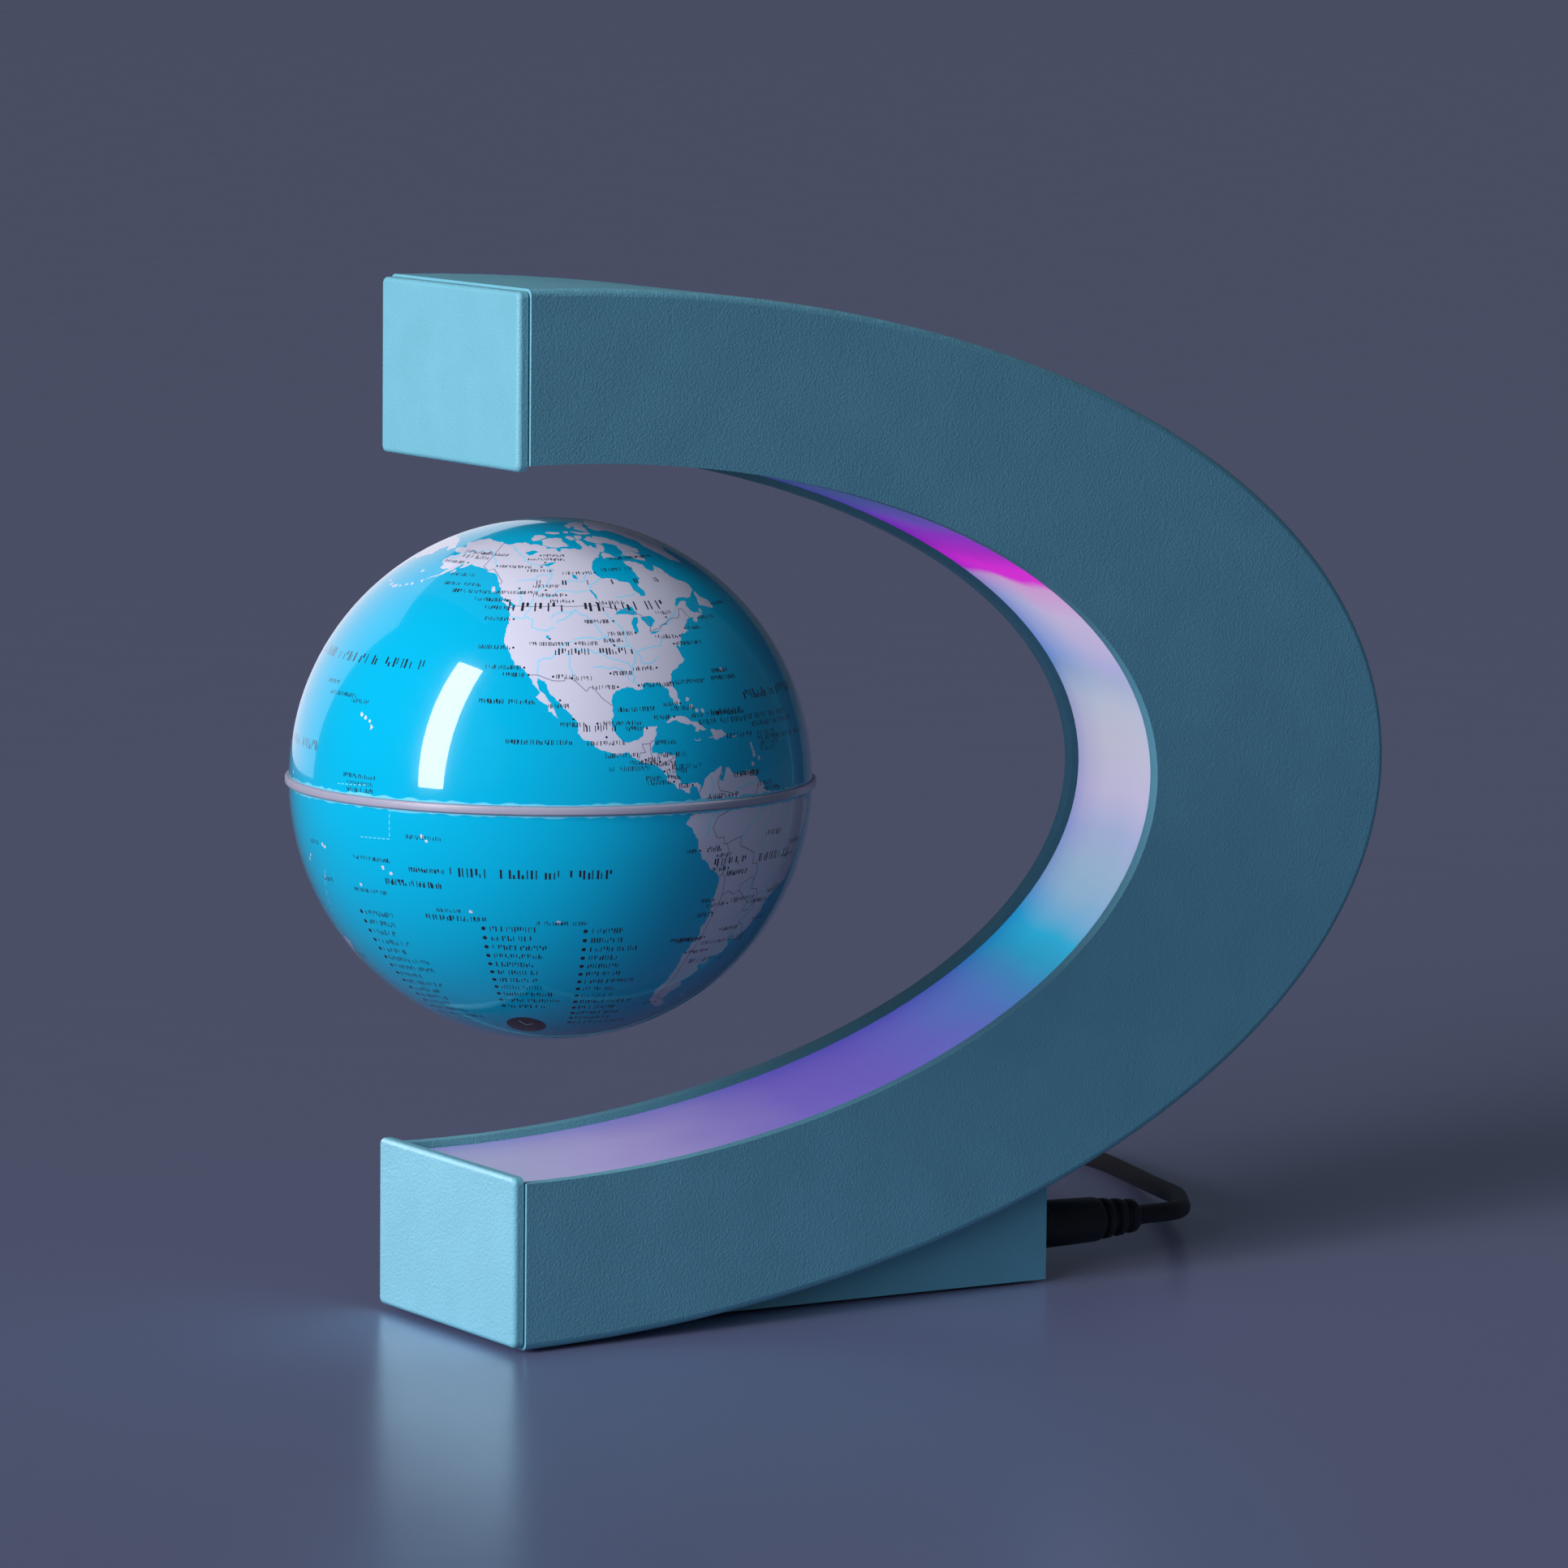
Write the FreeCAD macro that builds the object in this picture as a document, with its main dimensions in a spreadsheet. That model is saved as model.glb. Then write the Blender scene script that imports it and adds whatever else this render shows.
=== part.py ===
import FreeCAD, Part
import math
import os

import Sketcher

# Desktop globe that floats in a C-shaped stand. All lengths are in millimetres.
#
# The C frame: x = 0 is the open end of the stand's two arms and x grows towards the back of the
# curve, y = 0 is the stand's middle plane, z = 0 is the underside of the lower arm. Every piece is
# drawn there, and its Placement then moves it to the part's own frame, whose origin is on the
# table below the middle of the whole object.

CELLS = [
    ("outer_reach", 175.0, "arm end to the back of the curve; half axis of the outer ellipse"),
    ("frame_height", 170.0, "lower arm's underside to upper arm's top"),
    ("end_width", 46.5, "width of the arms at their ends"),
    ("back_width", 21.5, "width at the back of the curve"),
    ("hole_centre", 3.7, "x of the inner ellipse's centre"),
    ("hole_level", 84.6, "z of the inner ellipse's centre"),
    ("hole_reach", 122.3, "half axis of the inner ellipse along x"),
    ("hole_rise", 57.5, "half axis of the inner ellipse along z"),
    ("wall", 2.2, "thickness of the stand's moulded walls"),
    ("edge_radius", 1.2, "rounding of the stand's outer edges"),
    ("rim", 1.2, "how far the walls stand proud of the diffuser"),
    ("diffuser_thickness", 2.0, "milky strip in the hole"),
    ("ledge", 1.3, "width and thickness of the ledges that carry the diffuser"),
    ("stand_off", 0.6, "gap that the rubber pads leave under the stand"),
    ("cap_thickness", 1.8, "end cap's plate"),
    ("cap_inset", 0.4, "how far the plate's edge lies inside the arm's outer faces"),
    ("cap_overhang", 1.0, "how far the plate passes the arm's inner face"),
    ("cap_gap", 0.3, "shadow gap between plate and arm"),
    ("cap_rounding", 0.8, "rounding of the plate's front edge"),
    ("cap_corner", 1.1, "rounding of the plate's corners"),
    ("plug_in_depth", 4.0, "how far the cap's walls reach into the arm"),
    ("fit_gap", 0.2, "clearance between pieces that slot together"),
    ("foot_start", 30.0, "x where the foot block starts"),
    ("foot_end", 108.0, "x of the foot block's end face"),
    ("foot_width", 19.0, "foot block"),
    ("foot_solid", 9.0, "solid tip of the wedge, before its hollow starts"),
    ("foot_wall", 2.0, "walls of the foot block"),
    ("cover_thickness", 2.0, "plate under the foot block"),
    ("jack_level", 7.4, "z of the power socket's axis"),
    ("jack_nose", 3.8, "radius of the socket's round nose"),
    ("jack_hole", 2.8, "radius of the socket's hole"),
    ("globe_offset", 17.1, "x of the globe's axis"),
    ("globe_level", 88.9, "z of the globe's centre"),
    ("globe_radius", 42.5, "printed sphere"),
    ("globe_wall", 1.5, "hollow hemispheres"),
    ("ring_radius", 43.1, "equator ring's outer radius"),
    ("ring_height", 1.5, "visible band of the ring"),
    ("lip", 2.2, "how far the ring's lips reach into the hemispheres"),
    ("lip_radius", 40.7, "outer radius of those lips"),
    ("ring_bore", 39.6, "inner radius of the ring"),
    ("magnet_radius", 10.0, "disc magnet in the globe"),
    ("magnet_thickness", 6.0, "disc magnet in the globe"),
    ("magnet_level", 31.4, "magnet's underside above the globe's centre"),
    ("magnet_gap", 0.4, "running clearance around the magnet"),
    ("holder_radius", 12.5, "magnet holder"),
    ("bobbin_radius", 13.0, "electromagnet's spool"),
    ("core_radius", 5.0, "electromagnet's iron core"),
    ("coil_base", 147.5, "z of the core's lower face"),
    ("bracket_level", 163.4, "z of the magnet bracket's underside"),
    ("board_level", 14.0, "z of the control board's underside"),
    ("board_thickness", 1.6, "printed circuit boards"),
    ("screw_radius", 1.25, "shank of every screw"),
    ("pad_radius", 4.5, "rubber pads under the lower arm"),
    ("foot_pad_radius", 3.0, "rubber pads under the foot block"),
    ("cord_diameter", 3.3, "power cord"),
    ("plug_length", 24.6, "moulded grip of the power plug"),
    ("coil_turn_outer", 25.2, "centre radius of the coil's widest turn"),
    ("coil_turn_inner", 11.8, "centre radius of the coil's narrowest full turn"),
]

# Routes of the cord in the part's own frame: from the plug to the coil, and from the coil to the
# plug at the far end. A cord's own radius is its lowest centre height.
POWER_ROUTE = [
    (58.1, 0.0, 8.0),
    (65.0, 0.4, 7.9),
    (72.0, 5.5, 7.2),
    (78.5, 15.0, 6.2),
    (84.8, 27.0, 4.9),
    (90.5, 40.0, 3.5),
    (96.2, 54.0, 2.3),
    (101.0, 68.0, 1.65),
    (104.2, 82.5, 1.65),
    (103.4, 97.0, 1.65),
    (95.0, 108.5, 1.65),
    (82.0, 113.0, 1.65),
    (67.5, 110.5, 1.65),
    (53.0, 104.0, 1.65),
    (38.5, 96.0, 1.65),
    (24.56, 88.45, 1.65),
]
TAIL_ROUTE = [
    (18.2, 83.8, 4.95),
    (11.5, 77.3, 4.6),
    (5.0, 71.9, 4.2),
    (-2.0, 67.0, 4.0),
]
CORD_RUNS = {"power_cord": POWER_ROUTE, "power_cord_tail": TAIL_ROUTE}
COIL_CENTRE = (36.0, 66.0)
FAR_PLUG_HEADING = 215.0  # degrees about +Z from +X

document = FreeCAD.newDocument("floating_globe")
sheet = document.addObject("Spreadsheet::Sheet", "Sheet")
nodes = {}


class Size:
    """A number together with the spreadsheet expression that gives it."""

    def __init__(self, number, text):
        self.number = number
        self.text = text

    def join(self, other, sign, number):
        return Size(number, f"({self.text} {sign} {as_size(other).text})")

    def __add__(self, other):
        return self.join(other, "+", self.number + as_size(other).number)

    def __sub__(self, other):
        return self.join(other, "-", self.number - as_size(other).number)

    def __mul__(self, other):
        return self.join(other, "*", self.number * as_size(other).number)

    def __truediv__(self, other):
        return self.join(other, "/", self.number / as_size(other).number)

    def __rsub__(self, other):
        return as_size(other) - self

    def __neg__(self):
        return Size(-self.number, f"(-1 * {self.text})")


def as_size(value):
    if isinstance(value, Size):
        return value
    return Size(float(value), repr(float(value)))


def root_of(value):
    return Size(math.sqrt(value.number), f"sqrt({value.text})")


def fill_sheet():
    """One row per driving dimension: its name, its value and what it is."""
    sizes = {}
    for row, (alias, number, meaning) in enumerate(CELLS, start=1):
        sheet.set(f"A{row}", alias)
        sheet.set(f"B{row}", str(number))
        sheet.set(f"C{row}", meaning)
        sheet.setAlias(f"B{row}", alias)
        sizes[alias] = Size(number, f"Sheet.{alias}")
    document.recompute()
    return sizes


D = fill_sheet()
ZERO = as_size(0.0)
TAPER = (D["end_width"] - D["back_width"]) / 2.0 / D["outer_reach"]
MID_X = (D["outer_reach"] + D["globe_offset"] - D["ring_radius"]) / 2.0
OUTER = (ZERO, D["frame_height"] / 2.0, D["outer_reach"], D["frame_height"] / 2.0)
INNER = (D["hole_centre"], D["hole_level"], D["hole_reach"], D["hole_rise"])
END_SHARE = D["hole_centre"] / D["hole_reach"]
END_SLOPE = root_of(as_size(1.0) - END_SHARE * END_SHARE)
LOWER_TOP = D["hole_level"] - D["hole_rise"] * END_SLOPE  # inner face of the lower arm at its end
UPPER_BASE = D["hole_level"] + D["hole_rise"] * END_SLOPE  # inner face of the upper arm at its end


# ---------------------------------------------------------------- document helpers


def bind(thing, name, size):
    thing.setExpression(name, as_size(size).text)


def place(thing, x=ZERO, y=ZERO, z=ZERO):
    """Put a piece drawn at (x, y, z) of the C frame into the part's own frame."""
    bind(thing, "Placement.Base.x", as_size(x) - MID_X)
    bind(thing, "Placement.Base.y", y)
    bind(thing, "Placement.Base.z", as_size(z) + D["stand_off"])


def node(name, thing):
    thing.Label = name
    nodes[name] = thing
    return thing


def new_body(name):
    return document.addObject("PartDesign::Body", name)


def new_sketch(body, role):
    sketch = body.newObject("Sketcher::SketchObject", f"{body.Name}_{role[:2].lower()}")
    plane = next(item for item in body.Origin.OriginFeatures if item.Role == role)
    sketch.AttachmentSupport = (plane, [""])
    sketch.MapMode = "FlatFace"
    return sketch


def pin_point(sketch, geometry, end, across, up):
    """Tie one point of a sketch to its origin by two sizes."""
    for kind, size in (("DistanceX", across), ("DistanceY", up)):
        size = as_size(size)
        number = sketch.addConstraint(Sketcher.Constraint(kind, -1, 1, geometry, end, size.number))
        sketch.setExpression(f"Constraints[{number}]", size.text)


def polygon(sketch, corners):
    """A closed outline of straight lines through (across, up) sizes."""
    corners = [(as_size(across), as_size(up)) for across, up in corners]
    points = [FreeCAD.Vector(across.number, up.number, 0) for across, up in corners]
    first = None
    for index, point in enumerate(points):
        following = points[(index + 1) % len(points)]
        line = sketch.addGeometry(Part.LineSegment(point, following), False)
        if first is None:
            first = line
        else:
            sketch.addConstraint(Sketcher.Constraint("Coincident", line - 1, 2, line, 1))
    sketch.addConstraint(Sketcher.Constraint("Coincident", first + len(points) - 1, 2, first, 1))
    for index, (across, up) in enumerate(corners):
        pin_point(sketch, first + index, 1, across, up)


def rectangle(sketch, left, right, low, high):
    polygon(sketch, [(left, low), (right, low), (right, high), (left, high)])


def circle(sketch, across, up, radius):
    across, up, radius = as_size(across), as_size(up), as_size(radius)
    centre = FreeCAD.Vector(across.number, up.number, 0)
    upright = FreeCAD.Vector(0, 0, 1)
    index = sketch.addGeometry(Part.Circle(centre, upright, radius.number), False)
    pin_point(sketch, index, 3, across, up)
    number = sketch.addConstraint(Sketcher.Constraint("Radius", index, radius.number))
    sketch.setExpression(f"Constraints[{number}]", radius.text)


def ellipse_arc(sketch, ellipse, start):
    """The part of an upright ellipse to the right of x = start; returns its number in the sketch."""
    centre, level, reach, rise = ellipse
    middle = FreeCAD.Vector(centre.number, level.number, 0)
    turn = math.acos((as_size(start).number - centre.number) / reach.number)
    curve = Part.Ellipse(middle, reach.number, rise.number)
    arc = sketch.addGeometry(Part.ArcOfEllipse(curve, -turn, turn), False)
    sketch.exposeInternalGeometry(arc)
    pin_point(sketch, arc, 3, centre, level)
    for axis, half in ((arc + 1, reach), (arc + 2, rise)):
        number = sketch.addConstraint(Sketcher.Constraint("Distance", axis, 2 * half.number))
        sketch.setExpression(f"Constraints[{number}]", (half * 2.0).text)
    sketch.addConstraint(Sketcher.Constraint("Horizontal", arc + 1))
    return arc


def upright_through(sketch, start, low, high):
    """A vertical line at x = start between two arc ends, each given as (arc, end)."""
    start = as_size(start)
    ends = [sketch.getPoint(arc, end) for arc, end in (low, high)]
    line = sketch.addGeometry(Part.LineSegment(ends[0], ends[1]), False)
    sketch.addConstraint(Sketcher.Constraint("Coincident", low[0], low[1], line, 1))
    sketch.addConstraint(Sketcher.Constraint("Coincident", high[0], high[1], line, 2))
    sketch.addConstraint(Sketcher.Constraint("Vertical", line))
    number = sketch.addConstraint(Sketcher.Constraint("DistanceX", -1, 1, line, 1, start.number))
    sketch.setExpression(f"Constraints[{number}]", start.text)


def grown(ellipse, by):
    """An ellipse with both half axes longer by the same amount."""
    centre, level, reach, rise = ellipse
    return (centre, level, reach + by, rise + by)


def crescent(sketch, outer, inner, start):
    """The C between two ellipses, to the right of x = start."""
    outside = ellipse_arc(sketch, outer, start)
    inside = ellipse_arc(sketch, inner, start)
    upright_through(sketch, start, (outside, 1), (inside, 1))
    upright_through(sketch, start, (inside, 2), (outside, 2))


def pad(body, sketch, length, midplane=False, backwards=False):
    feature = body.newObject("PartDesign::Pad", f"{sketch.Name}_pad")
    feature.Profile = sketch
    feature.Midplane = midplane
    feature.Reversed = backwards
    bind(feature, "Length", length)
    document.recompute()
    return feature


def pocket(body, sketch, length=None, midplane=False, backwards=False):
    """Cut a sketch out of a body; the volume has to shrink."""
    before = body.Shape.Volume
    feature = body.newObject("PartDesign::Pocket", f"{sketch.Name}_pocket")
    feature.Profile = sketch
    feature.Midplane = midplane
    feature.Reversed = backwards
    if length is None:
        feature.Type = "ThroughAll"
    else:
        bind(feature, "Length", length)
    document.recompute()
    if not body.Shape.Volume < before - 1e-3:
        raise RuntimeError(f"{feature.Name} cuts nothing")
    return feature


def revolution(body, sketch, axis):
    """Turn a sketch on the XZ plane once about its own "V_Axis" (up) or "H_Axis" (across)."""
    feature = body.newObject("PartDesign::Revolution", f"{sketch.Name}_turned")
    feature.Profile = sketch
    feature.ReferenceAxis = (sketch, [axis])
    feature.Angle = 360
    document.recompute()
    return feature


def fillet(body, base, wanted, radius):
    names = [f"Edge{number}" for number, edge in enumerate(base.Shape.Edges, start=1) if wanted(edge)]
    feature = body.newObject("PartDesign::Fillet", f"{base.Name}_round")
    feature.Base = (base, names)
    bind(feature, "Radius", radius)
    document.recompute()
    return feature


def taper(body, half_width):
    """Trim a body to a half width that shrinks towards the back of the curve."""
    far = D["outer_reach"] + 5.0
    beyond = D["end_width"]
    sketch = new_sketch(body, "XY_Plane")
    for side in (1.0, -1.0):
        near_half = (half_width + TAPER * 10.0) * side
        far_half = (half_width - TAPER * far) * side
        outline = [(-10.0, near_half), (far, far_half), (far, beyond * side), (-10.0, beyond * side)]
        polygon(sketch, outline if side > 0 else outline[::-1])
    return pocket(body, sketch, midplane=True)


def box(name, low, high, at=(ZERO, ZERO, ZERO)):
    """A block between two corners of the C frame."""
    thing = document.addObject("Part::Box", name)
    for axis, (least, most) in zip(("Length", "Width", "Height"), zip(low, high)):
        bind(thing, axis, as_size(most) - as_size(least))
    place(thing, *(as_size(start) + shift for start, shift in zip(low, at)))
    return thing


def cylinder(name, radius, height, x, y, z):
    thing = document.addObject("Part::Cylinder", name)
    bind(thing, "Radius", radius)
    bind(thing, "Height", height)
    place(thing, x, y, z)
    return thing


def combine(kind, name, base, tool):
    thing = document.addObject(f"Part::{kind}", name)
    thing.Base = base
    thing.Tool = tool
    return thing


def fuse_all(name, things):
    thing = document.addObject("Part::MultiFuse", name)
    thing.Shapes = things
    return thing


def group(name, things):
    """Several separate solids in one node."""
    thing = document.addObject("Part::Compound", name)
    thing.Links = things
    return node(name, thing)


# ---------------------------------------------------------------- the stand's shell


def half_inside(gap=0.0):
    """Half width of the space between the side walls, at the arms' ends."""
    return D["end_width"] / 2.0 - D["wall"] - gap


POST_SPOTS = [(9.5, 13.5), (9.5, -13.5), (52.0, 12.5), (52.0, -12.5)]
POST_RISES = (0.2, 0.2, 3.6, 3.6)  # how far the curved floor lies above its lowest point at each post
POST_RADIUS = 2.6
BOSS_SPOTS = [(17.1, 16.2), (17.1, -16.2)]
ARM_PAD_SPOTS = [(11.0, 15.0), (11.0, -15.0)]
FOOT_PAD_SPOTS = [(98.0, 3.6), (98.0, -3.6)]
WIRE_HOLE = (66.5, 0.0)


def c_shell():
    """One moulding: the outer wall and both side walls, open at the hole and at both arm ends."""
    block = new_body("shell_block")
    sketch = new_sketch(block, "XZ_Plane")
    crescent(sketch, OUTER, INNER, ZERO)
    pad(block, sketch, D["end_width"], midplane=True)
    trimmed = taper(block, D["end_width"] / 2.0)
    longest = 2.0 * D["outer_reach"].number
    fillet(block, trimmed, lambda edge: edge.Length > longest, D["edge_radius"])
    place(block)

    cavity = new_body("shell_cavity")
    sketch = new_sketch(cavity, "XZ_Plane")
    arc = ellipse_arc(sketch, grown(OUTER, -D["wall"]), as_size(-5.0))
    upright_through(sketch, -5.0, (arc, 1), (arc, 2))
    pad(cavity, sketch, D["end_width"], midplane=True)
    taper(cavity, half_inside())
    place(cavity)

    ledges = new_body("shell_ledges")
    sketch = new_sketch(ledges, "XZ_Plane")
    under = D["rim"] + D["diffuser_thickness"]
    crescent(sketch, grown(INNER, under + D["ledge"]), grown(INNER, under), as_size(6.0))
    pad(ledges, sketch, D["end_width"], midplane=True)
    taper(ledges, half_inside(-1.0))
    sketch = new_sketch(ledges, "XY_Plane")
    inside = half_inside(D["ledge"])
    far = D["outer_reach"]
    polygon(sketch, [(0, inside), (0, -inside), (far, TAPER * far - inside), (far, inside - TAPER * far)])
    pocket(ledges, sketch, midplane=True)
    place(ledges)

    hollow = combine("Cut", "shell_hollow", block, cavity)
    floor = D["wall"] / 2.0
    posts = [
        cylinder(f"board_post_{number}", POST_RADIUS, D["board_level"] - floor - rise, x, y, floor + rise)
        for number, ((x, y), rise) in enumerate(zip(POST_SPOTS, POST_RISES))
    ]
    bosses = [
        cylinder(f"bracket_boss_{number}", POST_RADIUS, 4.4, x, y, D["bracket_level"] + 1.6)
        for number, (x, y) in enumerate(BOSS_SPOTS)
    ]
    whole = fuse_all("shell_with_posts", [hollow, ledges, *posts, *bosses])
    holes = [
        cylinder(f"post_hole_{number}", D["screw_radius"], 8.0, x, y, D["board_level"] - 6.0)
        for number, (x, y) in enumerate(POST_SPOTS)
    ]
    holes += [
        cylinder(f"boss_hole_{number}", D["screw_radius"], 3.6, x, y, D["bracket_level"] + 1.0)
        for number, (x, y) in enumerate(BOSS_SPOTS)
    ]
    holes += [
        cylinder(f"pad_recess_{number}", D["pad_radius"] + D["fit_gap"], 2.4, x, y, -2.0)
        for number, (x, y) in enumerate(ARM_PAD_SPOTS)
    ]
    holes += [cylinder("wire_hole", 3.8, 12.0, *WIRE_HOLE, 2.0)]
    node("c_shell", combine("Cut", "shell", whole, fuse_all("shell_holes", holes)))


def led_diffuser():
    """Milky strip that closes the hole's wall between the two rims."""
    body = node("led_diffuser", new_body("led_diffuser"))
    sketch = new_sketch(body, "XZ_Plane")
    face = grown(INNER, D["rim"])
    crescent(sketch, grown(face, D["diffuser_thickness"]), face, as_size(1.2))
    pad(body, sketch, D["end_width"], midplane=True)
    taper(body, half_inside(0.1))
    place(body)


def end_cap(name, outer_z, inner_z):
    """Plate with a rounded front, a lip that meets the diffuser, and walls that plug into the arm."""
    up = 1.0 if inner_z.number > outer_z.number else -1.0
    body = node(name, new_body(name))
    sketch = new_sketch(body, "YZ_Plane")
    half = D["end_width"] / 2.0 - D["cap_inset"]
    rectangle(sketch, -half, half, outer_z + D["cap_inset"] * up, inner_z + D["cap_overhang"] * up)
    plate = pad(body, sketch, D["cap_thickness"], backwards=True)
    corners = fillet(body, plate, lambda edge: edge.BoundBox.XLength > 1.0, D["cap_corner"])
    front = -D["cap_thickness"].number + 1e-3
    fillet(body, corners, lambda edge: edge.BoundBox.XMax < front, D["cap_rounding"])
    inside = half_inside(D["fit_gap"] + TAPER * D["plug_in_depth"])
    lip_z = inner_z - 0.3 * up
    sketch = new_sketch(body, "YZ_Plane")
    floor_z = outer_z + (D["wall"] + D["fit_gap"]) * up
    rectangle(sketch, -inside, inside, floor_z, lip_z)
    pad(body, sketch, D["cap_gap"] + 1.0)
    sketch = new_sketch(body, "YZ_Plane")
    top_z = inner_z - (D["rim"] + D["diffuser_thickness"] + 0.3) * up
    inner_half = inside - 1.5
    polygon(sketch, [
        (-inside, floor_z), (inside, floor_z), (inside, top_z), (inner_half, top_z),
        (inner_half, floor_z + 1.5 * up), (-inner_half, floor_z + 1.5 * up),
        (-inner_half, top_z), (-inside, top_z),
    ])
    pad(body, sketch, D["plug_in_depth"])
    place(body, x=-D["cap_gap"])


# ---------------------------------------------------------------- foot block and power socket


FOOT_SCREW_SPOTS = [(62.0, 4.8), (84.0, -4.8)]
RIB_HALF = 0.8  # half the thickness of the rib that ties each screw post to its side wall


def foot_housing():
    """Wedge under the curve: side walls and an end wall that holds the power socket."""
    block = new_body("foot_block")
    sketch = new_sketch(block, "XZ_Plane")
    start, end = D["foot_start"], D["foot_end"]
    hollow = start + D["foot_solid"]
    rise = D["frame_height"] / 4.0
    polygon(sketch, [(start, 0), (end, 0), (end, rise), (start, rise)])
    pad(block, sketch, D["foot_width"], midplane=True)
    sketch = new_sketch(block, "XZ_Plane")
    inside = end - D["foot_wall"]
    polygon(sketch, [(hollow, -1), (inside, -1), (inside, rise + 1.0), (hollow, rise + 1.0)])
    pocket(block, sketch, D["foot_width"] - D["foot_wall"] * 2.0, midplane=True)
    place(block)
    tall = rise - D["cover_thickness"]
    posts = [
        cylinder(f"foot_post_{number}", POST_RADIUS, tall, x, y, D["cover_thickness"])
        for number, (x, y) in enumerate(FOOT_SCREW_SPOTS)
    ]
    side = D["foot_width"] / 2.0 - D["foot_wall"] / 2.0
    ribs = []
    for number, (x, y) in enumerate(FOOT_SCREW_SPOTS):
        near, far = (y, side) if y > 0 else (-side, y)
        low = (x - RIB_HALF, near, D["cover_thickness"])
        ribs.append(box(f"foot_rib_{number}", low, (x + RIB_HALF, far, rise)))

    curve = new_body("foot_curve")
    sketch = new_sketch(curve, "XZ_Plane")
    arc = ellipse_arc(sketch, OUTER, ZERO)
    upright_through(sketch, 0, (arc, 1), (arc, 2))
    pad(curve, sketch, D["end_width"], midplane=True)
    place(curve)

    socket_hole = cylinder("socket_hole", D["jack_nose"] + 0.1, 6.0, D["foot_end"] - 4.0, 0, D["jack_level"])
    socket_hole.Placement.Rotation = FreeCAD.Rotation(FreeCAD.Vector(0, 1, 0), 90)
    holes = [
        cylinder(f"foot_hole_{number}", D["screw_radius"], 8.0, x, y, 0)
        for number, (x, y) in enumerate(FOOT_SCREW_SPOTS)
    ]
    solid = fuse_all("foot_with_posts", [block, *posts, *ribs])
    cutters = fuse_all("foot_cutters", [curve, socket_hole, *holes])
    node("foot_housing", combine("Cut", "foot_walls", solid, cutters))


def foot_cover():
    """Plate that closes the foot block from below, with two countersunk screw holes."""
    body = node("foot_cover", new_body("foot_cover"))
    sketch = new_sketch(body, "XY_Plane")
    side = D["foot_width"] / 2.0 - D["foot_wall"] - D["fit_gap"]
    start = D["foot_start"] + D["foot_solid"] + D["fit_gap"]
    end = D["foot_end"] - D["foot_wall"] - D["fit_gap"]
    rectangle(sketch, start, end, -side, side)
    for x, y in FOOT_SCREW_SPOTS:
        circle(sketch, x, y, D["screw_radius"] + 0.1)
    pad(body, sketch, D["cover_thickness"])
    sketch = new_sketch(body, "XY_Plane")
    for x, y in FOOT_SCREW_SPOTS:
        circle(sketch, x, y, 2.5)
    pocket(body, sketch, 1.3, backwards=True)
    place(body)


def screws(name, spots, base, shank, head_down):
    """Pan-head screws: a shank and a low head, pointing up or down."""
    made = []
    for number, (x, y) in enumerate(spots):
        height = as_size(base[number])
        shank_z = height if head_down else height - shank
        head_z = height - 1.1 if head_down else height
        turned = [
            cylinder(f"{name}_shank_{number}", D["screw_radius"] - 0.02, shank, x, y, shank_z),
            cylinder(f"{name}_head_{number}", 2.3, 1.1, x, y, head_z),
        ]
        made.append(fuse_all(f"{name}_{number}", turned))
    group(name, made)


def anti_slip_pads():
    arm = [
        cylinder(f"arm_pad_{number}", D["pad_radius"], D["stand_off"] + 0.4, x, y, -D["stand_off"])
        for number, (x, y) in enumerate(ARM_PAD_SPOTS)
    ]
    foot = [
        cylinder(f"foot_pad_{number}", D["foot_pad_radius"], D["stand_off"], x, y, -D["stand_off"])
        for number, (x, y) in enumerate(FOOT_PAD_SPOTS)
    ]
    group("anti_slip_pads", arm + foot)


def dc_jack():
    """Barrel socket: a block with a round nose in the foot's end wall and a blind hole."""
    end, level = D["foot_end"], D["jack_level"]
    block = box("jack_block", (end - 14.0, -4.5, level - 5.2), (end - 2.1, 4.5, level + 4.5))
    nose = cylinder("jack_nose", D["jack_nose"], 2.7, end - 2.8, 0, level)
    hole = cylinder("jack_hole", D["jack_hole"], 12.0, end - 10.0, 0, level)
    for turned in (nose, hole):
        turned.Placement.Rotation = FreeCAD.Rotation(FreeCAD.Vector(0, 1, 0), 90)
    node("dc_jack", combine("Cut", "jack", fuse_all("jack_solid", [block, nose]), hole))


# ---------------------------------------------------------------- electronics in the arms


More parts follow.
